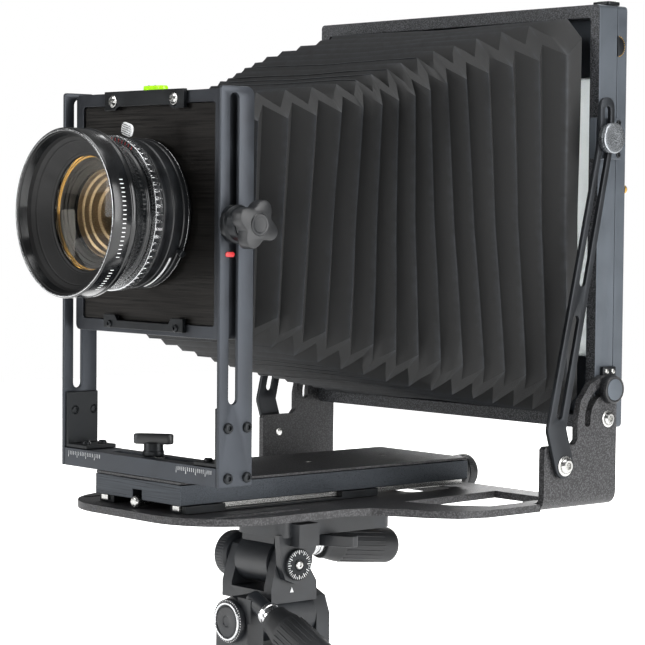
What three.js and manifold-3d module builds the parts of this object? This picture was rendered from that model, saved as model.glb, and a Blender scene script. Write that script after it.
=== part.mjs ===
// Large-format bellows camera on a three-way tripod head. Millimetres, +Z up, lens towards -Y.
// The origin is the centre of the flat underside of the head's base.
import * as THREE from 'three';
import Module from 'manifold-3d';
import { mergeVertices } from 'three/addons/utils/BufferGeometryUtils.js';

const wasm = await Module();
wasm.setup();

// ---------------------------------------------------------------- clearances
const GAP = 0.3; // between pieces that meet face to face
const RUN = 0.4; // radial, between a pin and its hole
const SIDE_PLAY = 0.5; // between the rear standard and the brackets beside it

// ---------------------------------------------------------------- driving sizes
const HEAD_HEIGHT = 124.5; // base to the underside of the camera bed
const SHEET = 5; // bed sheet metal
const BED_OVERHANG = 12; // bed in front of the platform
const BED_HALF_FRONT = 87;
const BED_CORNER = 54;
const BED_REAR_CUT = 22; // bed's rear edge between the brackets, in front of their rear ends

const BOARD = 142; // lens board, square
const BOARD_THICK = 3;
const FRAME_LAND = 8.5; // lens frame around the board
const FRAME_DEPTH = 18;
const FRAME_SETBACK = 6.7; // lens frame's front behind the uprights' front edges
const BOARD_RECESS = 1.5; // board's front behind the lens frame's
const FRAME_SIDE_GAP = 3.5; // lens frame to upright
const UPRIGHT_THICK = 3;
const UPRIGHT_DEPTH = 27;
const UPRIGHT_HEIGHT = 253.5;
const CROSS_BAR_HEIGHT = 12;
const STANDARD_Y = -105.7; // centre plane of the front standard
const TILT_BELOW_LENS = 6; // lens tilt axis under the lens axis
const LENS_TO_TOP = 81; // lens axis to the top of the uprights

const THREAD_R = 32.7; // shutter's rear thread
const SHUTTER_R = 49;
const SHUTTER_DEPTH = 22;
const LENS_RIM_R = 54.6;
const LENS_REACH = 68; // lens board to the front rim
const FRONT_GLASS_R = 37;
const IRIS_R = 26;

const PLATFORM_WIDTH = 93;
const PLATFORM_THICK = 13.7;
const TOP_PLATE_THICK = 1.5;
const PLATFORM_REAR_Y = 141;
const GUIDE_OFFSET = 39;
const GUIDE_WIDTH = 16;
const RAIL_WIDTH = 6.8;
const SCREW_R = 2.6;
const SCREW_CAP_R = 4;
const KNOB_R = 12.8;
const BEARING_LENGTH = 22;

const REAR_DEPTH = 18;
const BACK_DEPTH = 9.7;
const REAR_BAR = 9;
const REAR_Y = 165.4; // front face of the rear frame
const REAR_BOTTOM_GAP = 52.5; // bed underside to the rear frame's bottom edge
const PIVOT_UP = 7.5; // rear tilt pivot above the rear frame's bottom edge
const FILM_WIDTH = 254; // ground glass
const FILM_HEIGHT = 203;
const REAR_MARGIN_SIDE = 18; // rear frame beyond the ground glass
const REAR_MARGIN_TOP = 44.75;

const BRACKET_LENGTH = 72;
const ARC_R = 20.5; // tilt lock slot about the pivot
const LOCK_SLOT = 5.8;
const STUD_R = 2.3;
const STRUT_FOOT_WIDTH = 17.6;
const STRUT_TOP_WIDTH = 14;
const STRUT_THICK = 3;
const STRUT_STUD_UP = 193; // strut stud above the tilt pivot

const HEAD_BASE_R = 32;
const SIDE_AXIS_Z = 46;
const FRONT_AXIS_Z = 84;
const LUG_R = 17;
const BARREL_R = 17;

// ---------------------------------------------------------------- derived places
const bedTop = HEAD_HEIGHT + SHEET;
const frameSize = BOARD + 2 * FRAME_LAND;
const uprightInner = frameSize / 2 + FRAME_SIDE_GAP;
const uprightOuter = uprightInner + UPRIGHT_THICK;
const standardFront = STANDARD_Y - UPRIGHT_DEPTH / 2;
const standardRear = STANDARD_Y + UPRIGHT_DEPTH / 2;
const screwZ = bedTop + SCREW_CAP_R + GAP;
const guideBase = bedTop + GAP;
const guideFloor = guideBase + 1.4;
const platformBottom = guideBase + 5.5;
const platformTop = platformBottom + PLATFORM_THICK + GAP + TOP_PLATE_THICK;
const crossBottom = platformTop + GAP;
const crossTop = crossBottom + CROSS_BAR_HEIGHT;
const uprightTop = crossBottom + UPRIGHT_HEIGHT;
const lensZ = uprightTop - LENS_TO_TOP;
const tiltZ = lensZ - TILT_BELOW_LENS;
const frameFront = standardFront + FRAME_SETBACK;
const boardFront = frameFront + BOARD_RECESS;
const frameBack = frameFront + FRAME_DEPTH;
const rearWidth = FILM_WIDTH + 2 * REAR_MARGIN_SIDE;
const rearHeight = FILM_HEIGHT + 2 * REAR_MARGIN_TOP;
const rearBottom = HEAD_HEIGHT + REAR_BOTTOM_GAP;
const rearTop = rearBottom + rearHeight;
const rearCentre = (rearBottom + rearTop) / 2;
const backY = REAR_Y + REAR_DEPTH + GAP;
const pivotY = REAR_Y + 7.6;
const pivotZ = rearBottom + PIVOT_UP;
const bracketInner = rearWidth / 2 + SIDE_PLAY;
const bracketOuter = bracketInner + SHEET;
const bedRear = pivotY + 9;
const bracketFront = bedRear - BRACKET_LENGTH;
const bedFront = standardFront - BED_OVERHANG;
const bearing = [PLATFORM_REAR_Y + 7, PLATFORM_REAR_Y + 7 + BEARING_LENGTH];

// ---------------------------------------------------------------- colours and finishes
const finish = (color, roughness, metalness) =>
  new THREE.MeshStandardMaterial({ color, roughness, metalness });
const ANODISED = finish('#34383f', 0.42, 0.8);
const SLATE = finish('#6d7883', 0.45, 0.75);
const WRINKLE = finish('#2b2a2c', 0.85, 0.2);
const BLACK_METAL = finish('#17181a', 0.35, 0.6);
const BRIGHT = finish('#c9c9c6', 0.25, 1);
const MOULDED = finish('#202124', 0.6, 0);
const FABRIC = finish('#0d0e11', 0.9, 0);
const GLASS = finish('#3a3026', 0.05, 0);
const LEVEL_GREEN = finish('#a8e01c', 0.2, 0);

// ---------------------------------------------------------------- solids
const merged = (geometry) => {
  const plain = new THREE.BufferGeometry();
  plain.setAttribute('position', geometry.getAttribute('position').clone());
  if (geometry.index) plain.setIndex(geometry.index.clone());
  return mergeVertices(plain, 1e-4);
};

function signedVolume(positions, index) {
  const at = (i) => new THREE.Vector3().fromArray(positions, 3 * i);
  let six = 0;
  for (let i = 0; i < index.length; i += 3) {
    six += at(index[i]).dot(at(index[i + 1]).cross(at(index[i + 2])));
  }
  return six / 6;
}

/** A three.js geometry as a closed manifold with its faces outward; a manifold is returned as it is. */
function manifold(geometry) {
  if (geometry instanceof wasm.Manifold) return geometry;
  const shape = merged(geometry);
  const positions = shape.getAttribute('position').array;
  const index = [];
  for (let i = 0; i < shape.index.count; i += 3) {
    const [a, b, c] = [0, 1, 2].map((k) => shape.index.getX(i + k));
    if (a !== b && b !== c && c !== a) index.push(a, b, c);
  }
  if (signedVolume(positions, index) < 0) index.reverse();
  return new wasm.Manifold(
    new wasm.Mesh({
      numProp: 3,
      vertProperties: new Float32Array(positions),
      triVerts: new Uint32Array(index),
    }),
  );
}

function geometryOf(solid) {
  const mesh = solid.getMesh();
  const geometry = new THREE.BufferGeometry();
  geometry.setAttribute('position', new THREE.BufferAttribute(new Float32Array(mesh.vertProperties), 3));
  geometry.setIndex(new THREE.BufferAttribute(new Uint32Array(mesh.triVerts), 1));
  const flat = geometry.toNonIndexed();
  flat.computeVertexNormals();
  return flat;
}

const combine = (how) => (first, ...rest) =>
  rest.map(manifold).reduce((sum, next) => sum[how](next), manifold(first));
const join = combine('add');
const cut = combine('subtract');
const common = combine('intersect');

/** Box from its [low, high] along each axis. */
function box([x0, x1], [y0, y1], [z0, z1]) {
  const geometry = new THREE.BoxGeometry(x1 - x0, y1 - y0, z1 - z0);
  return geometry.translate((x0 + x1) / 2, (y0 + y1) / 2, (z0 + z1) / 2);
}

/** Turns a solid built along +Y so that it lies along the named axis. */
function along(axis, geometry) {
  if (axis === 'x') return geometry.rotateZ(-Math.PI / 2);
  if (axis === 'z') return geometry.rotateX(Math.PI / 2);
  return geometry;
}

/** Round bar along an axis; centre holds the two other coordinates, in X, Y, Z order. */
function rod(axis, radius, [low, high], centre = [0, 0], segments = 16) {
  const geometry = along(axis, new THREE.CylinderGeometry(radius, radius, high - low, segments));
  const middle = (low + high) / 2;
  const [a, b] = centre;
  if (axis === 'x') return geometry.translate(middle, a, b);
  if (axis === 'y') return geometry.translate(a, middle, b);
  return geometry.translate(a, b, middle);
}

/** Turned part: closed profile of [radius, distance along the axis] points. */
function turned(axis, profile, centre = [0, 0], segments = 24) {
  const points = profile.map(([r, d]) => new THREE.Vector2(r, d));
  const first = points[0];
  if (first.x > 0) points.push(first.clone());
  const geometry = along(axis, new THREE.LatheGeometry(points, segments));
  const [a, b] = centre;
  if (axis === 'x') return geometry.translate(0, a, b);
  if (axis === 'y') return geometry.translate(a, 0, b);
  return geometry.translate(a, b, 0);
}

/** Prism with its outline in the plane across an axis, from low to high along it. */
function prism(axis, outline, [low, high], curveSegments) {
  const options = { depth: high - low, bevelEnabled: false, curveSegments };
  const geometry = new THREE.ExtrudeGeometry(outline, options);
  const place = new THREE.Matrix4();
  if (axis === 'x') place.set(0, 0, 1, low, 1, 0, 0, 0, 0, 1, 0, 0, 0, 0, 0, 1);
  if (axis === 'y') place.set(1, 0, 0, 0, 0, 0, -1, high, 0, 1, 0, 0, 0, 0, 0, 1);
  if (axis === 'z') place.makeTranslation(0, 0, low);
  return geometry.applyMatrix4(place);
}

/** Plate across an axis; the outline's holes go right through it. */
function plate(axis, outline, [low, high], curveSegments = 2) {
  const blank = prism(axis, new THREE.Shape(outline.getPoints(curveSegments)), [low, high], curveSegments);
  if (!outline.holes.length) return blank;
  const cutters = outline.holes.map((hole) =>
    prism(axis, new THREE.Shape(hole.getPoints(curveSegments)), [low - 1, high + 1], curveSegments));
  return cut(blank, ...cutters);
}

function roundedRect(width, height, radius, centreX = 0, centreY = 0) {
  const [x, y] = [centreX - width / 2, centreY - height / 2];
  const shape = new THREE.Shape();
  shape.moveTo(x + radius, y);
  shape.lineTo(x + width - radius, y);
  shape.absarc(x + width - radius, y + radius, radius, -Math.PI / 2, 0);
  shape.absarc(x + width - radius, y + height - radius, radius, 0, Math.PI / 2);
  shape.absarc(x + radius, y + height - radius, radius, Math.PI / 2, Math.PI);
  shape.absarc(x + radius, y + radius, radius, Math.PI, 1.5 * Math.PI);
  return shape;
}

/** Outline that wraps a circle at each of two points. */
function tapered(from, fromR, to, toR) {
  const angle = Math.atan2(to[1] - from[1], to[0] - from[0]);
  const outline = new THREE.Shape();
  outline.absarc(to[0], to[1], toR, angle - Math.PI / 2, angle + Math.PI / 2);
  outline.absarc(from[0], from[1], fromR, angle + Math.PI / 2, angle + 1.5 * Math.PI);
  outline.closePath();
  return outline;
}
const slot = (from, to, radius) => tapered(from, radius, to, radius);

function circle(x, y, radius, sides = 24) {
  const corner = (_, i) => {
    const a = (2 * Math.PI * i) / sides;
    return new THREE.Vector2(x + radius * Math.cos(a), y + radius * Math.sin(a));
  };
  return new THREE.Shape(Array.from({ length: sides }, corner));
}
const withHoles = (shape, ...holes) => {
  shape.holes.push(...holes);
  return shape;
};
const polygon = (points) => new THREE.Shape(points.map(([x, y]) => new THREE.Vector2(x, y)));
const mirrored = (shape) => manifold(shape).mirror([1, 0, 0]);

const camera = new THREE.Group();
function part(name, shape, material, parent = camera) {
  const mesh = new THREE.Mesh(geometryOf(manifold(shape)), material);
  mesh.name = name;
  parent.add(mesh);
  return mesh;
}

/** Left (-X) and right (+X) copies of a piece drawn on the +X side. */
function pair(name, shape, material, parent = camera) {
  part(`${name}_right`, shape, material, parent);
  part(`${name}_left`, mirrored(shape), material, parent);
}

// ---------------------------------------------------------------- tripod head
const YOKE_LEFT = [-35.5, -25];
const YOKE_RIGHT = [10, 18];
const CHEEK = [18.3, 23.3];
const RECEIVER_Z = [103, 113.7];
const QR_REAR = 88;
const SIDE_HANDLE_ROOT = [29, -31, 55];
const SIDE_HANDLE_DROP = THREE.MathUtils.degToRad(25);

function gripProfile(root, end, length) {
  const round = 6;
  const arc = [0, 30, 60, 90].map((deg) => {
    const a = THREE.MathUtils.degToRad(deg);
    return [end - round + round * Math.cos(a), length - round + round * Math.sin(a)];
  });
  return [[0, 0], [root * 0.75, 0], [root * 0.75, 8], [root, 9], [root, 12], ...arc, [0, length]];
}

function tripodHead() {
  const panBottom = 12 + GAP;
  const panTop = 26;
  const lugFront = [-38, -24];
  const lugRear = [24, 36];
  const tiltHole = rod('y', 8 + RUN, [lugFront[0] - 1, lugRear[1] + 1], [0, SIDE_AXIS_Z]);
  part('head_base', join(
    turned('z', [[0, 0], [HEAD_BASE_R - 1, 0], [HEAD_BASE_R, 1], [HEAD_BASE_R, 10], [HEAD_BASE_R - 2, 12], [0, 12]]),
    rod('z', 9.6, [11, 22]),
  ), MOULDED);

  const lug = (range) => plate('y', (() => {
    const shape = new THREE.Shape();
    shape.moveTo(-LUG_R, panBottom + 2);
    shape.lineTo(LUG_R, panBottom + 2);
    shape.lineTo(LUG_R, SIDE_AXIS_Z);
    shape.absarc(0, SIDE_AXIS_Z, LUG_R, 0, Math.PI);
    return shape;
  })(), range);
  const sideRoot = new THREE.Matrix4().makeRotationY(SIDE_HANDLE_DROP);
  sideRoot.setPosition(...SIDE_HANDLE_ROOT);
  const boss = rod('x', 6.5, [-17, -GAP]).applyMatrix4(sideRoot);
  part('pan_body', cut(
    join(
      turned('z', [[0, panBottom], [30, panBottom], [30, 24], [28, panTop], [0, panTop]]),
      box([-LUG_R, LUG_R], [lugFront[0], lugRear[1]], [panBottom + 2, panTop]),
      lug(lugFront),
      lug(lugRear),
      boss,
      box([6, 20], lugFront, [SIDE_AXIS_Z, SIDE_AXIS_Z + LUG_R]),
    ),
    rod('z', 10, [panBottom - 1, 22 + GAP]),
    tiltHole,
    rod('x', 4 + RUN, [-31, -22], [0, 19.5]),
    rod('y', LUG_R + 0.6, [lugFront[1], lugRear[0]], [0, SIDE_AXIS_Z]),
  ), MOULDED);
  part('pan_lock_knob', turned('x', [[0, -23], [4, -23], [4, -34], [9, -34], [9, -46], [7, -47], [0, -47]], [0, 19.5], 24), MOULDED);

  const armOutline = (back, radius) => {
    const shape = new THREE.Shape();
    shape.moveTo(-18, 57);
    shape.lineTo(back, 57);
    shape.lineTo(back, 70);
    shape.lineTo(radius, FRONT_AXIS_Z);
    shape.absarc(0, FRONT_AXIS_Z, radius, 0, Math.PI);
    shape.lineTo(-18, 68);
    return withHoles(shape, circle(0, FRONT_AXIS_Z, 6 + RUN));
  };
  part('side_tilt_body', join(
    rod('y', BARREL_R, [lugFront[1] + GAP, lugRear[0] - GAP], [0, SIDE_AXIS_Z], 24),
    rod('y', 8, [lugFront[0] - 1, lugRear[1] - 0.5], [0, SIDE_AXIS_Z]),
    rod('y', 15, [lugFront[0] - 4, lugFront[0] - GAP], [0, SIDE_AXIS_Z], 24),
    box([YOKE_LEFT[0], YOKE_RIGHT[1]], [-18, 20], [57, 65.5]),
    plate('x', armOutline(16, 13), YOKE_LEFT),
    plate('x', armOutline(23, 14), YOKE_RIGHT),
  ), MOULDED);

  const sideHandle = part('side_tilt_handle', turned('x', gripProfile(10.5, 13.5, 68), [0, 0], 22), MOULDED);
  sideHandle.rotation.y = SIDE_HANDLE_DROP;
  sideHandle.position.set(...SIDE_HANDLE_ROOT);

  const cheek = plate('x', (() => {
    const shape = new THREE.Shape();
    shape.moveTo(-16, RECEIVER_Z[0] + 2);
    shape.lineTo(-14, FRONT_AXIS_Z);
    shape.absarc(0, FRONT_AXIS_Z, 14, Math.PI, 2 * Math.PI);
    shape.lineTo(16, RECEIVER_Z[0] + 2);
    return shape;
  })(), CHEEK);
  const receiver = plate('z', roundedRect(50, QR_REAR + 16, 8, 0, (QR_REAR - 16) / 2), RECEIVER_Z);
  part('front_tilt_body', cut(
    join(
      receiver,
      cheek,
      rod('x', 16, [YOKE_LEFT[1] + GAP, YOKE_RIGHT[0] - GAP], [0, FRONT_AXIS_Z], 24),
      box([YOKE_LEFT[1] + GAP, YOKE_RIGHT[0] - GAP], [-9, 14], [FRONT_AXIS_Z, RECEIVER_Z[0] + 1]),
      rod('x', 6, [YOKE_LEFT[0] + 0.2, CHEEK[0] + 1], [0, FRONT_AXIS_Z]),
      rod('y', 9, [8, 32], [-2, 93]),
      rod('x', 11, [CHEEK[1] - 1, CHEEK[1] + 2], [0, FRONT_AXIS_Z], 24),
      box([CHEEK[1] - 1, 33], [-6, 12], [RECEIVER_Z[0] - 6, RECEIVER_Z[1] - 1]),
    ),
    rod('z', 3 + RUN, [RECEIVER_Z[0] - 1, RECEIVER_Z[0] + 7], [17, 26], 16),
  ), MOULDED);

  const frontHandle = part('front_tilt_handle', turned('y', gripProfile(10.5, 12.8, 78), [0, 0], 22), MOULDED);
  frontHandle.rotation.x = THREE.MathUtils.degToRad(-6);
  frontHandle.position.set(-2, 32 + GAP + 0.9, 93);

  part('counter_knob', turned('x', [[0, -36], [14, -36], [16.5, -38], [16.5, -47], [15, -48.5], [0, -48.5]], [0, FRONT_AXIS_Z], 24), MOULDED);

  const leverTop = RECEIVER_Z[0] - GAP;
  part('release_lever', join(
    plate('z', slot([17, 26], [38, 36], 5.5), [leverTop - 8, leverTop]),
    rod('z', 3, [leverTop - 1, leverTop + 6], [17, 26], 16),
  ), MOULDED);

  const plateBottom = RECEIVER_Z[1] + GAP;
  part('quick_release_plate', cut(
    plate('z', roundedRect(52, QR_REAR + 20, 9, 0, (QR_REAR - 20) / 2), [plateBottom, HEAD_HEIGHT - GAP]),
    rod('z', 4.8 + RUN, [plateBottom - 1, HEAD_HEIGHT]),
    rod('z', 10 + RUN, [plateBottom - 1, plateBottom + 3.5]),
  ), MOULDED);
  part('camera_screw', join(
    rod('z', 10, [plateBottom + GAP, plateBottom + 3], [0, 0], 32),
    rod('z', 4.8, [plateBottom + 1, bedTop - 1]),
  ), BRIGHT);
}

// ---------------------------------------------------------------- bed, guides and focus drive
function bedOutline() {
  const half = bracketOuter - 2;
  const flareStart = -12;
  const flareEnd = 60;
  const middle = (flareStart + flareEnd) / 2;
  const front = bedFront + BED_CORNER;
  const shape = new THREE.Shape();
  shape.moveTo(-BED_HALF_FRONT + BED_CORNER, bedFront);
  shape.lineTo(BED_HALF_FRONT - BED_CORNER, bedFront);
  shape.absarc(BED_HALF_FRONT - BED_CORNER, front, BED_CORNER, -Math.PI / 2, 0);
  shape.lineTo(BED_HALF_FRONT, flareStart);
  shape.bezierCurveTo(BED_HALF_FRONT, middle, half, middle - 8, half, flareEnd);
  shape.lineTo(half, bedRear);
  shape.lineTo(-half, bedRear);
  shape.lineTo(-half, flareEnd);
  shape.bezierCurveTo(-half, middle - 8, -BED_HALF_FRONT, middle, -BED_HALF_FRONT, flareStart);
  shape.lineTo(-BED_HALF_FRONT, front);
  shape.absarc(-BED_HALF_FRONT + BED_CORNER, front, BED_CORNER, Math.PI, 1.5 * Math.PI);
  return shape;
}

/** Window in the bed beside the carriage, on the +X side. */
function sideWindow() {
  const inner = BED_HALF_FRONT - 6;
  const outer = bracketInner - 12;
  return polygon([[inner, 46], [outer - 20, 58], [outer, 76], [outer, 122], [outer - 16, 140], [inner - 6, 140]]);
}

function bracketSection() {
  const bend = 4;
  const shape = new THREE.Shape();
  const outside = bend + SHEET;
  shape.moveTo(bracketOuter - 20, HEAD_HEIGHT);
  shape.lineTo(bracketOuter - outside, HEAD_HEIGHT);
  shape.absarc(bracketOuter - outside, HEAD_HEIGHT + outside, outside, -Math.PI / 2, 0);
  shape.lineTo(bracketOuter, pivotZ + 40);
  shape.lineTo(bracketInner, pivotZ + 40);
  shape.lineTo(bracketInner, HEAD_HEIGHT + outside);
  shape.absarc(bracketInner - bend, HEAD_HEIGHT + outside, bend, 0, -Math.PI / 2, true);
  shape.lineTo(bracketOuter - 20, bedTop);
  return shape;
}

function bracketFace() {
  const archR = ARC_R + 10;
  const stepY = pivotY - archR;
  const stepZ = pivotZ - 16;
  const shape = new THREE.Shape();
  shape.moveTo(bracketFront, HEAD_HEIGHT - 1);
  shape.lineTo(bedRear, HEAD_HEIGHT - 1);
  shape.lineTo(bedRear, pivotZ + Math.sqrt(archR ** 2 - (bedRear - pivotY) ** 2));
  shape.absarc(pivotY, pivotZ, archR, Math.acos((bedRear - pivotY) / archR), Math.PI);
  shape.lineTo(stepY, stepZ + 3);
  shape.lineTo(stepY - 3, stepZ);
  shape.lineTo(bracketFront + 2, stepZ);
  shape.lineTo(bracketFront, stepZ - 2);
  return shape;
}

/** Curved slot about the tilt pivot in which the tilt lock's stud travels. */
function arcSlot() {
  const half = LOCK_SLOT / 2;
  const [start, end] = [80, 185].map(THREE.MathUtils.degToRad);
  const at = (a) => [pivotY + ARC_R * Math.cos(a), pivotZ + ARC_R * Math.sin(a)];
  const shape = new THREE.Shape();
  shape.absarc(pivotY, pivotZ, ARC_R + half, start, end);
  shape.absarc(...at(end), half, end, end + Math.PI);
  shape.absarc(pivotY, pivotZ, ARC_R - half, end, start, true);
  shape.absarc(...at(start), half, start + Math.PI, start + 2 * Math.PI);
  return shape;
}

const strutFoot = [pivotY - 46.6, HEAD_HEIGHT + 30.5]; // strut's lower pivot, Y and Z

function bed() {
  const span = [bracketInner - 1, bracketOuter + 1];
  const bracket = cut(
    common(plate('y', bracketSection(), [bracketFront, bedRear]), plate('x', bracketFace(), [bracketOuter - 22, bracketOuter + 1])),
    plate('x', arcSlot(), span, 6),
    rod('x', 3 + RUN, span, [pivotY, pivotZ], 16),
    rod('x', 3 + RUN, span, strutFoot, 16),
  );
  const through = [HEAD_HEIGHT - 1, bedTop + 1];
  const rearCutHalf = bracketInner - 36;
  const sideOpenings = [
    box([bracketOuter - 9, bracketOuter + 5], [bracketFront - 1, bedRear + 1], through),
    plate('z', sideWindow(), through),
    plate('z', slot([70, standardFront + 10], [70, -38], 3), through),
  ];
  part('bed_plate', join(
    cut(
      plate('z', bedOutline(), [HEAD_HEIGHT, bedTop], 5),
      ...sideOpenings,
      ...sideOpenings.map(mirrored),
      plate('z', roundedRect(2 * GUIDE_OFFSET + 14, 40, 6, 0, 106), through),
      rod('z', 4.8 + RUN, through),
      box([-rearCutHalf, rearCutHalf], [bedRear - BED_REAR_CUT, bedRear + 1], through),
    ),
    bracket,
    mirrored(bracket),
  ), WRINKLE);
}

function focusDrive() {
  const half = GUIDE_WIDTH / 2;
  const slotHalf = RAIL_WIDTH / 2 + RUN;
  const top = platformBottom - GAP;
  const length = 33;
  const frontY = standardFront + 4;
  const rearY = 20;
  const block = (y) => box([GUIDE_OFFSET - half, GUIDE_OFFSET + half], [y, y + length], [guideBase, top]);
  const channel = cut(
    join(block(frontY), block(rearY), box([GUIDE_OFFSET - half, GUIDE_OFFSET + half], [frontY, rearY + length], [guideBase, guideFloor])),
    box([GUIDE_OFFSET - slotHalf, GUIDE_OFFSET + slotHalf], [frontY - 1, rearY + length + 1], [guideFloor, top + 1]),
  );
  pair('guide_channel', channel, BLACK_METAL);

  const bearingTop = 2 * screwZ - guideBase + 4;
  const end = bearing[1] + GAP;
  part('screw_bearing', cut(
    box([-9, 9], bearing, [guideBase, bearingTop]),
    rod('y', SCREW_R + RUN, [bearing[0] - 1, bearing[1] + 1], [0, screwZ]),
  ), BLACK_METAL);
  part('lead_screw', turned('y', [
    [0, standardFront - 3], [SCREW_CAP_R - 1, standardFront - 3], [SCREW_CAP_R, standardFront - 2],
    [SCREW_CAP_R, standardFront + 2], [SCREW_R, standardFront + 2], [SCREW_R, end + 12], [0, end + 12],
  ], [0, screwZ], 16), BRIGHT);
  part('focus_knob', cut(
    turned('y', [
      [0, end], [7, end], [7, end + 3], [KNOB_R - 1, end + 3], [KNOB_R, end + 4], [KNOB_R, end + 15],
      [KNOB_R - 1.5, end + 16.5], [0, end + 16.5],
    ], [0, screwZ]),
    rod('y', SCREW_R + RUN, [end - 1, end + 12 + GAP], [0, screwZ]),
  ), BLACK_METAL);
}

function focusCarriage() {
  const half = PLATFORM_WIDTH / 2;
  const y = [standardFront, PLATFORM_REAR_Y];
  const grooveTop = platformBottom + 6.5;
  const top = platformBottom + PLATFORM_THICK;
  const swingHole = rod('z', 4 + RUN, [top - 6, platformTop + 1], [0, STANDARD_Y], 20);
  part('platform_body', cut(
    box([-half, half], y, [platformBottom, top]),
    box([-5, 5], [y[0] - 1, y[1] + 1], [platformBottom - 1, grooveTop]),
    swingHole,
  ), ANODISED);
  part('platform_top', cut(
    plate('z', withHoles(
      roundedRect(PLATFORM_WIDTH - 0.6, y[1] - y[0], 1, 0, (y[0] + y[1]) / 2),
      circle(0, -40, 3),
      circle(0, 30, 3),
      circle(0, 100, 3),
    ), [top + GAP, platformTop]),
    swingHole,
  ), WRINKLE);
  const railTop = platformBottom - GAP;
  const rail = box([GUIDE_OFFSET - RAIL_WIDTH / 2, GUIDE_OFFSET + RAIL_WIDTH / 2], [y[0] + 2, y[1] - 2], [guideFloor + GAP, railTop]);
  pair('guide_rail', rail, BRIGHT);
  part('lead_nut', cut(
    box([-5 + GAP, 5 - GAP], [y[1] - 40, y[1] - 22], [bedTop + 0.6, grooveTop - GAP]),
    rod('y', SCREW_R + RUN, [y[1] - 41, y[1] - 21], [0, screwZ], 16),
  ), BRIGHT);
}

// ---------------------------------------------------------------- front standard
function frontStandard() {
  const barHalf = uprightInner - GAP;
  const slotHalf = 4;
  const travel = 30;
  const shoeHalf = 8;
  part('slot_shoe', join(
    box([-shoeHalf, shoeHalf], [STANDARD_Y - slotHalf + GAP, STANDARD_Y + slotHalf - GAP], [crossBottom, crossTop - GAP]),
    rod('z', 4, [platformTop - 5, crossBottom + 1], [0, STANDARD_Y], 20),
    rod('z', 2.5, [crossTop - 1, crossTop + 9], [0, STANDARD_Y], 16),
  ), BRIGHT);
  const wing = slot([-9.5, 0], [9.5, 0], 4);
  const knob = cut(
    join(rod('z', 6.5, [crossTop + GAP, crossTop + 9], [0, 0], 20), plate('z', wing, [crossTop + 8, crossTop + 15])),
    rod('z', 2.5 + RUN, [crossTop, crossTop + 10], [0, 0], 16),
  );
  const clampKnob = part('clamp_knob', knob, BLACK_METAL);
  clampKnob.rotation.z = THREE.MathUtils.degToRad(40);
  clampKnob.position.y = STANDARD_Y;

  const bar = roundedRect(2 * barHalf, UPRIGHT_DEPTH, 0.6, 0, STANDARD_Y);
  bar.holes.push(slot([-shoeHalf - travel, STANDARD_Y], [shoeHalf + travel, STANDARD_Y], slotHalf));
  part('cross_bar', plate('z', bar, [crossBottom, crossTop]), ANODISED);

  const foot = 24;
  const legTop = crossTop + 38;
  const legX = [uprightInner - GAP - 2.6, uprightInner - GAP];
  const cornerY = [standardFront + 1, standardRear - 1];
  pair('corner_bracket', join(
    box([legX[1] - foot, legX[1]], cornerY, [crossTop + GAP, crossTop + GAP + 2.6]),
    box(legX, cornerY, [crossTop + GAP, legTop]),
  ), BLACK_METAL);

  const width = UPRIGHT_DEPTH;
  const front = standardFront;
  const shape = new THREE.Shape();
  shape.moveTo(front, crossBottom);
  shape.lineTo(front + width, crossBottom);
  shape.lineTo(front + width, uprightTop - 10);
  shape.absarc(front + width - 10, uprightTop - 10, 10, 0, Math.PI / 2);
  shape.lineTo(front + 2, uprightTop);
  shape.absarc(front + 2, uprightTop - 2, 2, Math.PI / 2, Math.PI);
  const slotY = front + 11;
  shape.holes.push(slot([slotY, crossTop + 44], [slotY, uprightTop - 8], 2.6));
  pair('upright', plate('x', shape, [uprightInner, uprightOuter]), ANODISED);

  const pin = [slotY, tiltZ];
  const washer = [frameSize / 2 + GAP, uprightInner - GAP];
  pair('rise_collar', join(
    rod('x', 2.2, [washer[0] - 6, uprightOuter + 5], pin, 12),
    rod('x', 8, washer, pin, 12),
    turned('x', [
      [0, uprightOuter + GAP], [12.3, uprightOuter + GAP], [12.3, uprightOuter + 5], [10.8, uprightOuter + 6],
      [10.8, uprightOuter + 13], [0, uprightOuter + 13],
    ], pin, 20),
    rod('x', 2.5, [uprightOuter + 12, uprightOuter + 21], pin, 12),
  ), BLACK_METAL);

  const knobX = uprightOuter + 13 + GAP;
  const lobes = [65, 155, 245, 335].map((deg) => {
    const a = THREE.MathUtils.degToRad(deg);
    return rod('x', 5.6, [knobX + 2, knobX + 12], [pin[0] + 10.9 * Math.cos(a), pin[1] + 10.9 * Math.sin(a)], 10);
  });
  pair('front_knob', cut(
    join(rod('x', 10.4, [knobX, knobX + 12], pin, 20), ...lobes),
    rod('x', 2.5 + RUN, [knobX - 1, knobX + 9], pin, 12),
    rod('x', 6, [knobX + 10, knobX + 13], pin, 20),
  ), BLACK_METAL);
}

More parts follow.
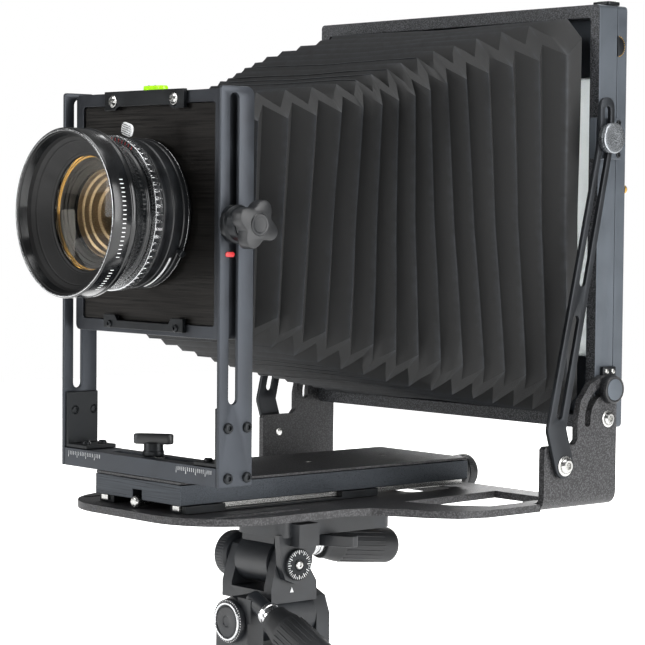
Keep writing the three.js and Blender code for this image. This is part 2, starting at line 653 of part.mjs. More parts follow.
function lensFrame() {
  const outer = roundedRect(frameSize, frameSize, 4, 0, lensZ);
  const window = BOARD - 20;
  const ledge = boardFront + BOARD_THICK + GAP;
  const slotY = standardFront + 11;
  const pivot = rod('x', 2.2 + RUN, [frameSize / 2 - 7, frameSize / 2 + 1], [slotY, tiltZ], 16);
  part('lens_frame', cut(
    plate('y', outer, [frameFront, frameBack]),
    plate('y', roundedRect(BOARD + 2 * GAP, BOARD + 2 * GAP, 2, 0, lensZ), [frameFront - 1, ledge]),
    plate('y', roundedRect(window, window, 3, 0, lensZ), [ledge - 1, frameBack + 1]),
    pivot,
    mirrored(pivot),
  ), ANODISED);
  const board = roundedRect(BOARD, BOARD, 2, 0, lensZ);
  part('lens_board', plate('y', withHoles(board, circle(0, lensZ, THREAD_R + RUN, 36)), [boardFront, boardFront + BOARD_THICK], 6), BLACK_METAL);

  const clipY = [frameFront - GAP - 3, frameFront - GAP];
  const edge = frameSize / 2;
  const clip = (sign, [outer, inner, ear]) => {
    const z = (offset) => lensZ + sign * (edge - offset);
    return polygon([
      [-43, z(outer)], [43, z(outer)], [43, z(ear)], [31, z(ear)], [28, z(inner)], [-28, z(inner)], [-31, z(ear)], [-43, z(ear)],
    ]);
  };
  const lock = clip(1, [-1, 9, 11.5]);
  for (const x of [-33, 33]) lock.holes.push(slot([x, lensZ + edge - 8], [x, lensZ + edge - 3], 2.2));
  part('board_lock', plate('y', lock, clipY), BLACK_METAL);
  part('board_rest', plate('y', clip(-1, [3, 8.2, 12]), clipY), BLACK_METAL);
  part('bubble_level', plate('z', roundedRect(21, 8, 2, 0, frameFront + 7), [lensZ + edge + GAP, lensZ + edge + 4.3]), LEVEL_GREEN);
}

// ---------------------------------------------------------------- lens and shutter
function lens() {
  const group = new THREE.Group();
  group.position.set(0, boardFront, lensZ);
  camera.add(group);
  const turn = (profile, segments = 32) => turned('y', profile, [0, 0], segments);
  const bore = THREAD_R - 3;
  const face = -GAP - 2.7 - SHUTTER_DEPTH;
  part('shutter_body', turn([
    [bore, BOARD_THICK + 9], [THREAD_R, BOARD_THICK + 9], [THREAD_R, -GAP], [46, -GAP], [46, -GAP - 2.7],
    [SHUTTER_R, -GAP - 3.2], [SHUTTER_R, face + 1], [SHUTTER_R - 1, face], [bore, face],
  ]), BLACK_METAL, group);
  part('retaining_ring', turn([
    [THREAD_R + RUN, BOARD_THICK + GAP], [41, BOARD_THICK + GAP], [41, BOARD_THICK + 3.5], [THREAD_R + RUN, BOARD_THICK + 3.5],
  ], 28), BRIGHT, group);

  const ringY = [face - 7, face - GAP];
  part('speed_ring', turn([[40, ringY[0]], [50, ringY[0]], [50.6, ringY[0] + 1], [50.6, ringY[1]], [40, ringY[1]]]), BRIGHT, group);

  const tab = (angle, radii, y, width, name, material) => {
    const mesh = part(name, box([-width / 2, width / 2], y, radii), material, group);
    mesh.rotation.y = THREE.MathUtils.degToRad(angle);
  };
  tab(15, [51.4, 60], [face - 6, face + 1.5], 12, 'cocking_lever', BRIGHT);
  tab(118, [SHUTTER_R + 0.4, SHUTTER_R + 6], [face + 5, face + 9], 5, 'aperture_lever', BLACK_METAL);
  part('iris_ring', turn([[IRIS_R, -6.5], [bore - 0.5, -6.5], [bore - 0.5, -5.5], [IRIS_R, -5.5]], 28), BLACK_METAL, group);

  const neck = ringY[0] - GAP;
  const shoulder = LENS_REACH - 18.5;
  const seat = LENS_REACH - 20;
  part('front_barrel', turn([
    [27, -9], [bore - RUN, -9], [bore - RUN, neck], [46.5, neck], [46.5, neck - 7.5],
    [LENS_RIM_R - 1.5, -shoulder], [LENS_RIM_R, -shoulder - 2], [LENS_RIM_R, -LENS_REACH + 0.6], [LENS_RIM_R - 1, -LENS_REACH],
    [LENS_RIM_R - 2.2, -LENS_REACH], [FRONT_GLASS_R + 4, -seat - 4], [FRONT_GLASS_R + 1.5, -seat - 2],
    [FRONT_GLASS_R + 0.3, -seat], [FRONT_GLASS_R + 0.3, -seat + 6.3], [FRONT_GLASS_R - 2, -seat + 6.3], [27, neck + 2],
  ]), BLACK_METAL, group);
  const dome = (radius, edge, bulge, sign) => [0, 0.5, 0.8, 1].map((t) => [radius * t, edge + sign * bulge * (1 - t * t)]);
  const element = (radius, y0, y1, bulge) => [
    ...dome(radius, y0, bulge, -1),
    ...dome(radius, y1, bulge, 1).reverse(),
  ];
  part('front_glass', turn(element(FRONT_GLASS_R, -seat + 1, -seat + 5.6, 3.5), 28), GLASS, group);
  part('rear_barrel', turn([
    [22, -4], [bore - RUN, -4], [bore - RUN, BOARD_THICK + 9.5], [35, BOARD_THICK + 9.5], [35, BOARD_THICK + 20],
    [29.3, BOARD_THICK + 22], [27.3, BOARD_THICK + 22], [27.3, BOARD_THICK + 14], [22, BOARD_THICK + 14],
  ], 28), BLACK_METAL, group);
  part('rear_glass', turn(element(27, BOARD_THICK + 14.4, BOARD_THICK + 19, 2).map(([r, y]) => [r, Math.max(y, BOARD_THICK + 14.4)]), 24), GLASS, group);
}

// ---------------------------------------------------------------- bellows
function bellows() {
  const pleats = 15;
  const wall = 3;
  const depth = 5.5; // folds on the sides lie half a pleat from those on the top
  const sag = 6.5;
  const [y0, y1] = [frameBack + GAP, REAR_Y - GAP];
  const front = frameSize / 2 - 9;
  const rear = [rearWidth / 2 - REAR_BAR - depth, rearHeight / 2 - REAR_BAR - depth - 0.5];
  const corner = (width, height) => [[width, height], [-width, height], [-width, -height], [width, -height]];
  const sides = corner(0, 0).length;
  const loops = { outer: [], inner: [] };
  for (let i = 0; i <= 2 * pleats; i += 1) {
    const t = i / (2 * pleats);
    const y = y0 + (y1 - y0) * (t + 0.031 * Math.sin(2 * Math.PI * t));
    const centre = lensZ + (rearCentre - lensZ) * t - sag * Math.sin(Math.PI * t);
    const fold = i % 2 ? depth : -depth;
    const width = front + (rear[0] - front) * t + (i === 2 * pleats ? depth : fold);
    const height = front + (rear[1] - front) * t - fold;
    const place = ([x, z]) => [x, y, centre + z];
    loops.outer.push(corner(width, height).map(place));
    loops.inner.push(corner(width - wall, height - wall).map(place));
  }
  const rings = [...loops.outer, ...loops.inner.reverse()];
  const index = [];
  for (let r = 0; r < rings.length; r += 1) {
    const next = (r + 1) % rings.length;
    for (let s = 0; s < sides; s += 1) {
      const [a, b] = [r * sides + s, r * sides + ((s + 1) % sides)];
      const [c, d] = [next * sides + s, next * sides + ((s + 1) % sides)];
      index.push(a, b, d, a, d, c);
    }
  }
  const geometry = new THREE.BufferGeometry();
  geometry.setAttribute('position', new THREE.Float32BufferAttribute(rings.flat(2), 3));
  geometry.setIndex(index);
  part('bellows', geometry, FABRIC);
}

// ---------------------------------------------------------------- rear standard
function rearStandard() {
  const side = rearWidth / 2;
  const outer = () => roundedRect(rearWidth, rearHeight, 3, 0, rearCentre);
  const opening = roundedRect(rearWidth - 2 * REAR_BAR, rearHeight - 2 * REAR_BAR, 2, 0, rearCentre);
  const strutX = bracketOuter + 0.8;
  const studZ = pivotZ + STRUT_STUD_UP;
  const studY = strutFoot[0] + 38;
  const lockAt = [pivotY, pivotZ + ARC_R];
  const studs = [
    rod('x', 3, [side - 1, bracketOuter + 0.4], [pivotY, pivotZ], 16),
    rod('x', STUD_R, [side - 1, bracketOuter + 5], lockAt, 16),
    rod('x', 5, [side - 1, strutX - GAP], [studY, studZ], 16),
    rod('x', STUD_R, [side - 1, strutX + STRUT_THICK + 5], [studY, studZ], 16),
  ];
  const studPlate = box([side - 1, side + 5], [studY - 7, REAR_Y + REAR_DEPTH], [studZ - 14, studZ + 14]);
  part('rear_frame', join(
    plate('y', withHoles(outer(), opening), [REAR_Y, REAR_Y + REAR_DEPTH]),
    studPlate,
    mirrored(studPlate),
    ...studs,
    ...studs.map(mirrored),
  ), SLATE);

  const back = [backY, backY + BACK_DEPTH];
  part('back_frame', plate('y', withHoles(outer(), roundedRect(FILM_WIDTH - 8, FILM_HEIGHT - 8, 2, 0, rearCentre)), back), SLATE);
  const glassY = [back[1] + GAP, back[1] + 8.3];
  const border = 6;
  const recess = plate('y', roundedRect(FILM_WIDTH + 2 * GAP, FILM_HEIGHT + 2 * GAP, 1, 0, rearCentre), [glassY[0] - 1, glassY[0] + 4]);
  part('glass_frame', cut(
    plate('y', withHoles(
      roundedRect(FILM_WIDTH + 2 * border, FILM_HEIGHT + 2 * border, 3, 0, rearCentre),
      roundedRect(FILM_WIDTH - 8, FILM_HEIGHT - 8, 2, 0, rearCentre),
    ), glassY),
    recess,
  ), BLACK_METAL);
  part('ground_glass', box([-FILM_WIDTH / 2, FILM_WIDTH / 2], [glassY[0] + 1, glassY[0] + 3.6], [rearCentre - FILM_HEIGHT / 2, rearCentre + FILM_HEIGHT / 2]), GLASS);
  part('back_latch', plate('z', roundedRect(15, 13, 2, side - 10, backY - 1), [rearTop + GAP, rearTop + 2.8]), BLACK_METAL);

  const lean = Math.atan2(8, 25);
  const kneeZ = strutFoot[1] + 25;
  const knee = [strutFoot[0] - (kneeZ - strutFoot[1]) * Math.tan(lean), kneeZ];
  const rise = [studY - knee[0], studZ - knee[1]];
  const length = Math.hypot(...rise);
  const onLine = (distance) => [knee[0] + (rise[0] * distance) / length, knee[1] + (rise[1] * distance) / length];
  const [footR, topR] = [STRUT_FOOT_WIDTH / 2, STRUT_TOP_WIDTH / 2];
  const tip = [studY, studZ + 21]; // the slot runs upright past the stud
  const across = [strutX, strutX + STRUT_THICK];
  const slots = [
    slot(onLine(length - 101), onLine(length + 9), STUD_R + 0.6),
    slot([studY, studZ], [studY, studZ + 19], STUD_R + 0.6),
    slot(onLine(10), onLine(length - 127), STUD_R + 0.6),
  ];
  const outline = join(
    plate('x', slot(strutFoot, knee, footR), across),
    plate('x', tapered(knee, footR, [studY, studZ], topR), across),
    plate('x', slot([studY, studZ], tip, topR), across),
  );
  const slotted = cut(outline, ...slots.map((hole) => plate('x', hole, [strutX - 1, strutX + STRUT_THICK + 1])));
  pair('strut', join(slotted, rod('x', 3, [bracketInner + 0.2, strutX + 1], strutFoot, 16)), ANODISED);

  const strutKnobX = strutX + STRUT_THICK + GAP;
  const knob = (x, radius, height, at) => cut(
    turned('x', [[0, x], [radius, x], [radius, x + height - 1], [radius - 1, x + height], [0, x + height]], at, 20),
    rod('x', STUD_R + RUN, [x - 1, x + height - 1.2], at, 12),
  );
  pair('strut_knob', knob(strutKnobX, 10.5, 6.5, [studY, studZ]), BRIGHT);
  pair('tilt_knob', knob(bracketOuter + GAP, 9.8, 6.5, lockAt), BLACK_METAL);
}

tripodHead();
bed();
focusDrive();
focusCarriage();
frontStandard();
lensFrame();
lens();
bellows();
rearStandard();

export default camera;
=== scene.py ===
"""Visual model of a large-format bellows camera on a three-way tripod head, dressed around its CAD frame."""
import logging
import math
from dataclasses import dataclass, field
from enum import Enum
from typing import Iterable, Sequence

import bmesh
import bpy
from mathutils import Matrix, Vector, noise


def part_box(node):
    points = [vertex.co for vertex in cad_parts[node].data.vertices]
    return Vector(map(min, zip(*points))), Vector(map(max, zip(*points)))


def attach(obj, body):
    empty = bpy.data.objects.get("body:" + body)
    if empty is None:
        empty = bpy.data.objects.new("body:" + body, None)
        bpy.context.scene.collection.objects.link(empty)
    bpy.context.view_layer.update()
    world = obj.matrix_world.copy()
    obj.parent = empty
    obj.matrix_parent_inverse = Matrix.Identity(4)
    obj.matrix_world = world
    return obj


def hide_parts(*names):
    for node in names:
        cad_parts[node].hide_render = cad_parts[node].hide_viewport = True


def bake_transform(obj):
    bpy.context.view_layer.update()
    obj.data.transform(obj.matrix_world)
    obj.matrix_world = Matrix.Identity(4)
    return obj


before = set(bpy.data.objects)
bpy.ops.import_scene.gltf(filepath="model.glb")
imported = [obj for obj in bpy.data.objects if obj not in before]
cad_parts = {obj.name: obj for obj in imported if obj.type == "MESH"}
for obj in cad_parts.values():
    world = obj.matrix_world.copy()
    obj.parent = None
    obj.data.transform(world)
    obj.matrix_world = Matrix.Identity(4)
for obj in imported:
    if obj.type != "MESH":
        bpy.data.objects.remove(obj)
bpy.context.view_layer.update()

MM = 0.001
SMOOTH_BELOW = math.radians(42)
Point = tuple[float, float]
log = logging.getLogger("camera")


# ------------------------------------------------------------------ nodes and colours
def linear(colour: str) -> tuple[float, float, float, float]:
    """Turns an sRGB hex colour into linear values.

    Args:
        colour: six hex digits after a hash sign.

    Returns:
        Linear red, green, blue and an alpha of one.
    """
    parts = [int(colour[i:i + 2], 16) / 255 for i in (1, 3, 5)]
    lifted = [c / 12.92 if c <= 0.04045 else ((c + 0.055) / 1.055) ** 2.4 for c in parts]
    return (*lifted, 1.0)


def add_node(tree: bpy.types.NodeTree, kind: str, inputs: dict | None = None, **settings) -> bpy.types.Node:
    """Adds a node to a tree.

    Args:
        tree: the tree that takes the node.
        kind: the node's type name.
        inputs: a value, or an output socket to link, for each input by name or number.
        settings: the node's own properties.

    Returns:
        The new node.
    """
    made = tree.nodes.new(kind)
    for key, value in settings.items():
        setattr(made, key, value)
    for key, value in (inputs or {}).items():
        if isinstance(value, bpy.types.NodeSocket):
            tree.links.new(value, made.inputs[key])
        else:
            made.inputs[key].default_value = value
    return made


def per_metre(size_mm: float) -> float:
    """Texture scale that repeats about once in size_mm."""
    return 1 / (size_mm * MM)


@dataclass(frozen=True)
class Finish:
    """A surface finish: its base values, and the pattern its maker's process leaves."""

    name: str
    colour: str
    accent: str
    roughness: float = 0.5
    metallic: float = 0.0
    slot: str = "black_metal"

    def material(self) -> bpy.types.Material:
        """Returns the finish's material, built the first time that it is asked for."""
        known = bpy.data.materials.get(self.name)
        if known:
            return known
        made = bpy.data.materials.new(self.name)
        made.use_nodes = True
        tree = made.node_tree
        shader = tree.nodes["Principled BSDF"]
        shader.inputs["Base Color"].default_value = linear(self.colour)
        shader.inputs["Roughness"].default_value = self.roughness
        shader.inputs["Metallic"].default_value = self.metallic
        place = add_node(tree, "ShaderNodeTexCoord").outputs["Object"]
        self.pattern(tree, shader, place)
        return made

    def pattern(self, tree: bpy.types.NodeTree, shader: bpy.types.Node,
                place: bpy.types.NodeSocket) -> None:
        """Adds the finish's own texture. Args: tree, shader and the Object coordinates."""
        grain = add_node(tree, "ShaderNodeTexNoise", {"Vector": place, "Scale": per_metre(0.5),
                                                      "Detail": 3.0})
        self.vary(tree, shader, grain.outputs["Fac"], 0.05)
        self.emboss(tree, shader, grain.outputs["Fac"], 0.01)

    def vary(self, tree: bpy.types.NodeTree, shader: bpy.types.Node, mask: bpy.types.NodeSocket,
             spread: float, low: float = 0.3, high: float = 0.7) -> None:
        """Runs the colour from base to accent, and the roughness up and down, along a mask.

        Args:
            tree: the material's tree.
            shader: the principled shader.
            mask: the pattern, 0 to 1.
            spread: half the change of roughness.
            low: mask value that shows the base colour.
            high: mask value that shows the accent colour.
        """
        ramp = add_node(tree, "ShaderNodeValToRGB", {"Fac": mask})
        ramp.color_ramp.elements[0].position = low
        ramp.color_ramp.elements[1].position = high
        ramp.color_ramp.elements[0].color = linear(self.colour)
        ramp.color_ramp.elements[1].color = linear(self.accent)
        tree.links.new(ramp.outputs["Color"], shader.inputs["Base Color"])
        rough = add_node(tree, "ShaderNodeMapRange", {
            "Value": mask, "From Min": low, "From Max": high,
            "To Min": self.roughness - spread, "To Max": self.roughness + spread})
        tree.links.new(rough.outputs["Result"], shader.inputs["Roughness"])

    @staticmethod
    def emboss(tree: bpy.types.NodeTree, shader: bpy.types.Node, height: bpy.types.NodeSocket,
               depth_mm: float, strength: float = 1.0) -> None:
        """Raises the surface by a height pattern. Args: tree, shader, the height, its depth and strength."""
        bump = add_node(tree, "ShaderNodeBump", {
            "Height": height, "Distance": depth_mm * MM, "Strength": strength})
        tree.links.new(bump.outputs["Normal"], shader.inputs["Normal"])


@dataclass(frozen=True)
class BlastedAnodise(Finish):
    """Bead-blasted and dyed aluminium: an even satin with a fine matt grain and faint handling marks."""

    grain_mm: float = 0.35
    depth_mm: float = 0.02

    def pattern(self, tree: bpy.types.NodeTree, shader: bpy.types.Node,
                place: bpy.types.NodeSocket) -> None:
        """Adds fine grain over broad, faint marks."""
        grain = add_node(tree, "ShaderNodeTexNoise", {
            "Vector": place, "Scale": per_metre(self.grain_mm), "Detail": 2.0})
        marks = add_node(tree, "ShaderNodeTexNoise", {
            "Vector": place, "Scale": per_metre(38), "Detail": 6.0, "Distortion": 0.6})
        self.vary(tree, shader, marks.outputs["Fac"], 0.07)
        self.emboss(tree, shader, grain.outputs["Fac"], self.depth_mm)


@dataclass(frozen=True)
class BrushedMetal(Finish):
    """Metal drawn over an abrasive belt: fine straight lines along one axis."""

    along: tuple[float, float, float] = (0.02, 1.0, 1.0)
    line_mm: float = 0.6
    depth_mm: float = 0.03

    def pattern(self, tree: bpy.types.NodeTree, shader: bpy.types.Node,
                place: bpy.types.NodeSocket) -> None:
        """Adds noise drawn out along the brushing."""
        drawn = add_node(tree, "ShaderNodeMapping", {"Vector": place, "Scale": self.along})
        lines = add_node(tree, "ShaderNodeTexNoise", {
            "Vector": drawn.outputs["Vector"], "Scale": per_metre(self.line_mm), "Detail": 4.0})
        self.vary(tree, shader, lines.outputs["Fac"], 0.1, 0.35, 0.65)
        self.emboss(tree, shader, lines.outputs["Fac"], self.depth_mm)


@dataclass(frozen=True)
class WrinkleCoat(Finish):
    """Baked wrinkle powder coat: small hard pimples whose tops are painted lighter, a painted highlight
    where they would catch the light.
    """

    cell_mm: float = 1.1
    depth_mm: float = 0.16

    def pattern(self, tree: bpy.types.NodeTree, shader: bpy.types.Node,
                place: bpy.types.NodeSocket) -> None:
        """Adds crowded round cells broken up by a finer noise."""
        noise_node = add_node(tree, "ShaderNodeTexNoise", {
            "Vector": place, "Scale": per_metre(self.cell_mm * 0.8), "Detail": 3.0, "Roughness": 0.6})
        cells = add_node(tree, "ShaderNodeTexVoronoi", {
            "Vector": place, "Scale": per_metre(self.cell_mm), "Randomness": 1.0}, feature="SMOOTH_F1")
        height = add_node(tree, "ShaderNodeMath", {
            0: noise_node.outputs["Fac"], 1: cells.outputs["Distance"]}, operation="SUBTRACT")
        # Pimple tops take the lighter accent colour as painted highlight speckles.
        self.vary(tree, shader, height.outputs["Value"], 0.08, -0.05, 0.3)
        self.emboss(tree, shader, height.outputs["Value"], self.depth_mm)


@dataclass(frozen=True)
class BlackEnamel(Finish):
    """Gloss black stove enamel on turned metal, with a faint orange peel and a clear top coat."""

    coat: float = 0.3
    peel_mm: float = 1.6

    def pattern(self, tree: bpy.types.NodeTree, shader: bpy.types.Node,
                place: bpy.types.NodeSocket) -> None:
        """Adds the peel, and dust that dulls the gloss in patches."""
        peel = add_node(tree, "ShaderNodeTexNoise", {"Vector": place, "Scale": per_metre(self.peel_mm),
                                                     "Detail": 1.0})
        dust = add_node(tree, "ShaderNodeTexNoise", {"Vector": place, "Scale": per_metre(9), "Detail": 7.0})
        self.vary(tree, shader, dust.outputs["Fac"], 0.06)
        self.emboss(tree, shader, peel.outputs["Fac"], 0.012)
        shader.inputs["Coat Weight"].default_value = self.coat
        shader.inputs["Coat Roughness"].default_value = 0.12


@dataclass(frozen=True)
class MouldedNylon(Finish):
    """Glass-filled nylon from a spark-eroded mould: dull black with a fine even grain."""

    grain_mm: float = 0.45

    def pattern(self, tree: bpy.types.NodeTree, shader: bpy.types.Node,
                place: bpy.types.NodeSocket) -> None:
        """Adds the mould's grain and a slow change of sheen."""
        grain = add_node(tree, "ShaderNodeTexVoronoi", {"Vector": place, "Scale": per_metre(self.grain_mm)})
        flow = add_node(tree, "ShaderNodeTexNoise", {"Vector": place, "Scale": per_metre(22),
                                                     "Detail": 4.0})
        self.vary(tree, shader, flow.outputs["Fac"], 0.07)
        self.emboss(tree, shader, grain.outputs["Distance"], 0.035)
        shader.inputs["IOR"].default_value = 1.53


@dataclass(frozen=True)
class BellowsCloth(Finish):
    """Rubber-coated cotton: a fine plain weave, matt in the folds, and lighter along the ridges from wear
    together with a painted bluish sheen.
    """

    thread_mm: float = 0.55

    def pattern(self, tree: bpy.types.NodeTree, shader: bpy.types.Node,
                place: bpy.types.NodeSocket) -> None:
        """Adds crossed threads from the cloth's UV map, and lighter ridges, wear together with a painted
        sheen, from its fold attribute.
        """
        cloth = add_node(tree, "ShaderNodeUVMap", uv_map="cloth")
        scale = math.pi / (self.thread_mm * MM)
        split = add_node(tree, "ShaderNodeSeparateXYZ", {"Vector": cloth.outputs["UV"]})
        waves = []
        for axis in "XY":
            turned = add_node(tree, "ShaderNodeMath", {0: split.outputs[axis], 1: scale},
                              operation="MULTIPLY")
            wave = add_node(tree, "ShaderNodeMath", {0: turned.outputs["Value"]}, operation="SINE")
            waves.append(wave.outputs["Value"])
        weave = add_node(tree, "ShaderNodeMath", {0: waves[0], 1: waves[1]}, operation="MULTIPLY")
        ridge = add_node(tree, "ShaderNodeAttribute", attribute_name="ridge")
        scuff = add_node(tree, "ShaderNodeTexNoise", {"Vector": place, "Scale": per_metre(7),
                                                      "Detail": 6.0})
        ridge_wear_and_sheen = add_node(tree, "ShaderNodeMath", {
            0: ridge.outputs["Fac"], 1: scuff.outputs["Fac"]}, operation="MULTIPLY")
        # Ridges are painted lighter and bluish: part wear, part a painted sheen standing in for light on the
        # folds.
        self.vary(tree, shader, ridge_wear_and_sheen.outputs["Value"], -0.06, 0.15, 0.75)
        self.emboss(tree, shader, weave.outputs["Value"], 0.03, 0.6)
        shader.inputs["Sheen Weight"].default_value = 0.02
        shader.inputs["Sheen Roughness"].default_value = 0.45


@dataclass(frozen=True)
class ClearMedium(Finish):
    """Glass or clear resin: light goes through it, and a thin coating may tint what it reflects."""

    ior: float = 1.52
    through: float = 1.0
    film_nm: float = 0.0
    haze_mm: float = 14.0
    glow: float = 0.0

    def pattern(self, tree: bpy.types.NodeTree, shader: bpy.types.Node,
                place: bpy.types.NodeSocket) -> None:
        """Adds transmission, the coating, and a trace of dust."""
        haze = add_node(tree, "ShaderNodeTexNoise", {"Vector": place, "Scale": per_metre(self.haze_mm),
                                                     "Detail": 8.0})
        spread = min(0.02, self.roughness / 2)
        self.vary(tree, shader, haze.outputs["Fac"], spread)
        shader.inputs["IOR"].default_value = self.ior
        shader.inputs["Transmission Weight"].default_value = self.through
        if self.film_nm:
            shader.inputs["Thin Film Thickness"].default_value = self.film_nm
            shader.inputs["Thin Film IOR"].default_value = 1.38
        if self.glow:
            shader.inputs["Emission Color"].default_value = linear(self.colour)
            shader.inputs["Emission Strength"].default_value = self.glow


UPRIGHT_ANODISE = BlastedAnodise("uprights_bead_blasted_anodise", "#33363b", "#3c4046", 0.44, 0.6,
                                 "anodised")
FRAME_ANODISE = BlastedAnodise("lens_frame_bead_blasted_anodise", "#34363a", "#42454a", 0.36, 0.8,
                               "anodised")
STRUT_ANODISE = BlastedAnodise("struts_bead_blasted_anodise", "#232528", "#2c2f33", 0.42, 0.6, "anodised")
CARRIAGE_BRUSHED = BrushedMetal("carriage_brushed_anodise", "#2b2e32", "#474b50", 0.36, 0.85, "anodised",
                                (0.015, 1, 1))
BOARD_BRUSHED = BrushedMetal("lens_board_brushed_anodise", "#1b1a19", "#2b2927", 0.4, 0.8, "black_metal",
                             (0.012, 1, 1), 0.4, 0.012)
# The wrinkle coats' lighter accent colour is painted highlight on the pimple tops.
BED_COAT = WrinkleCoat("bed_wrinkle_powder_coat", "#1a1a1c", "#48484a", 0.5, 0.15, "wrinkle")
REAR_COAT = WrinkleCoat("rear_frame_fine_powder_coat", "#1f2022", "#5b5d61", 0.5, 0.2, "slate", 0.8, 0.12)
BACK_COAT = BlastedAnodise("back_frame_bead_blasted_anodise", "#474c52", "#535960", 0.46, 0.55, "slate")
# Lighter anodise for the rear frame's sides, its colour raised as painted light from the right; the tilt
# knobs' face discs share it.
SIDE_ANODISE_PAINTED_LIT = BlastedAnodise("rear_frame_sides_bead_blasted_anodise", "#4c5157", "#585e65", 0.46, 0.55,
                              "slate")
SATIN_BLACK = BlastedAnodise("fittings_satin_black_anodise", "#121416", "#1f2225", 0.38, 0.55,
                             "black_metal")
BARREL_ENAMEL = BlackEnamel("lens_barrel_gloss_black_enamel", "#08090a", "#101214", 0.2, 0.0, "black_metal")
SHUTTER_ENAMEL = BlackEnamel("shutter_semi_gloss_enamel", "#0e0f11", "#1a1c1f", 0.34, 0.0, "black_metal",
                             0.15)
INNER_BLACK = BlackEnamel("lens_inside_matt_black_enamel", "#060607", "#0c0c0d", 0.62, 0.0, "black_metal",
                          0.0)
KNOB_NYLON = MouldedNylon("knobs_moulded_nylon", "#101113", "#1c1e21", 0.42, 0.0, "black_metal")
HEAD_NYLON = MouldedNylon("head_moulded_nylon", "#15171a", "#26292d", 0.4, 0.0, "moulded")
GRIP_RUBBER = MouldedNylon("grips_moulded_rubber", "#0f1012", "#1d1f22", 0.55, 0.0, "moulded", 0.8)
STEEL = BrushedMetal("screws_turned_stainless_steel", "#a9a9a7", "#dcdcd9", 0.22, 1.0, "bright", (1, 1, 1),
                     0.4, 0.008)
SPUN = BrushedMetal("knobs_spun_aluminium", "#7f8387", "#b9bdc1", 0.3, 1.0, "bright", (1, 1, 1), 0.5, 0.015)
CHROME = BrushedMetal("shutter_ring_satin_chrome", "#b4b6b8", "#e6e7e8", 0.2, 1.0, "bright", (1, 1, 1), 0.7,
                      0.006)
CHAMPAGNE = BrushedMetal("inner_cells_champagne_anodise", "#8d7a60", "#c7b596", 0.4, 0.7, "bright",
                         (1, 1, 1), 0.5, 0.01)
BRASS = BrushedMetal("stud_turned_brass", "#a77b33", "#d8b36a", 0.28, 1.0, "bright", (1, 1, 1), 0.4, 0.01)
WHITE_FILL = BlackEnamel("engraving_white_paint", "#dfe1e2", "#f4f5f5", 0.5, 0.0, "bright", 0.0)
RED_FILL = BlackEnamel("index_red_paint", "#b3161d", "#e02a2c", 0.4, 0.0, "bright", 0.1)
# The cloth's bluish accent colour is ridge wear together with a painted sheen.
CLOTH = BellowsCloth("bellows_rubber_coated_cotton", "#040506", "#20242a", 0.6, 0.0, "fabric")
FRONT_LENS = ClearMedium("front_glass_multicoated", "#f6f1e6", "#fffaf2", 0.02, 0.0, "lens_glass", 1.28)
AMBER_LENS = ClearMedium("inner_glass_amber_coated", "#e2c9a0", "#f1dcb8", 0.03, 0.0, "lens_glass", 1.22,
                         1.0)
SCREEN_GLASS = ClearMedium("screen_ground_glass", "#dfe6e6", "#eef2f2", 0.42, 0.0, "screen_glass", 1.52,
                           0.85, 0, 0.6)
LEVEL_VIAL = ClearMedium("level_fluorescent_acrylic", "#a6e80c", "#d4ff45", 0.12, 0.0, "level", 1.49, 0.35,
                         0, 6, 0.35)


# ------------------------------------------------------------------ meshes
def new_object(name: str, mesh: bpy.types.Mesh) -> bpy.types.Object:
    """Links a new object with the mesh to the scene and returns it."""
    made = bpy.data.objects.new(name, mesh)
    bpy.context.scene.collection.objects.link(made)
    return made


def drop(*objects: bpy.types.Object) -> None:
    """Removes helper objects together with their data."""
    for obj in objects:
        bpy.data.objects.remove(obj)


def shade(bm: bmesh.types.BMesh, angle: float = SMOOTH_BELOW) -> None:
    """Smooths faces and keeps edges sharper than angle crisp."""
    for face in bm.faces:
        face.smooth = True
    for edge in bm.edges:
        edge.smooth = len(edge.link_faces) == 2 and edge.calc_face_angle(0) < angle


def from_bmesh(name: str, bm: bmesh.types.BMesh, finish: Finish, outward: bool = True) -> bpy.types.Object:
    """Turns a bmesh into an object with one finish.

    Args:
        name: the object's name.
        bm: the mesh, which is freed.
        finish: its finish.
        outward: whether its normals are worked out again.

    Returns:
        The new object.
    """
    if outward:
        bmesh.ops.recalc_face_normals(bm, faces=bm.faces)
    shade(bm)
    mesh = bpy.data.meshes.new(name)
    bm.to_mesh(mesh)
    bm.free()
    mesh.materials.append(finish.material())
    return new_object(name, mesh)


def baked(obj: bpy.types.Object) -> bpy.types.Object:
    """Replaces an object's mesh by its evaluated mesh and removes its modifiers."""
    graph = bpy.context.evaluated_depsgraph_get()
    mesh = bpy.data.meshes.new_from_object(obj.evaluated_get(graph), depsgraph=graph)
    mesh.name = obj.name
    obj.modifiers.clear()
    obj.data = mesh
    return obj


AXES = {
    "x": ((0, 1, 0), (0, 0, 1), (1, 0, 0)),
    "-x": ((0, -1, 0), (0, 0, 1), (-1, 0, 0)),
    "y": ((-1, 0, 0), (0, 0, 1), (0, 1, 0)),
    "-y": ((1, 0, 0), (0, 0, 1), (0, -1, 0)),
    "z": ((1, 0, 0), (0, 1, 0), (0, 0, 1)),
    "-z": ((1, 0, 0), (0, -1, 0), (0, 0, -1)),
}


def axis_frame(axis: str, centre: Sequence[float]) -> Matrix:
    """Matrix that lays a shape built round local Z along an axis; local Y stays up where it can.

    Args:
        axis: x, y or z, with a minus sign before it to point the other way.
        centre: where the local origin goes, in millimetres.

    Returns:
        The placing matrix, from millimetres to metres.
    """
    turn = Matrix(AXES[axis]).transposed().to_4x4()
    return Matrix.Scale(MM, 4) @ Matrix.Translation(Vector(centre)) @ turn


def aimed(direction: Sequence[float], centre: Sequence[float]) -> Matrix:
    """Matrix that lays local Z along any direction. Args: direction, centre in millimetres. Returns: it."""
    turn = Vector(direction).normalized().to_track_quat("Z", "Y").to_matrix().to_4x4()
    return Matrix.Scale(MM, 4) @ Matrix.Translation(Vector(centre)) @ turn


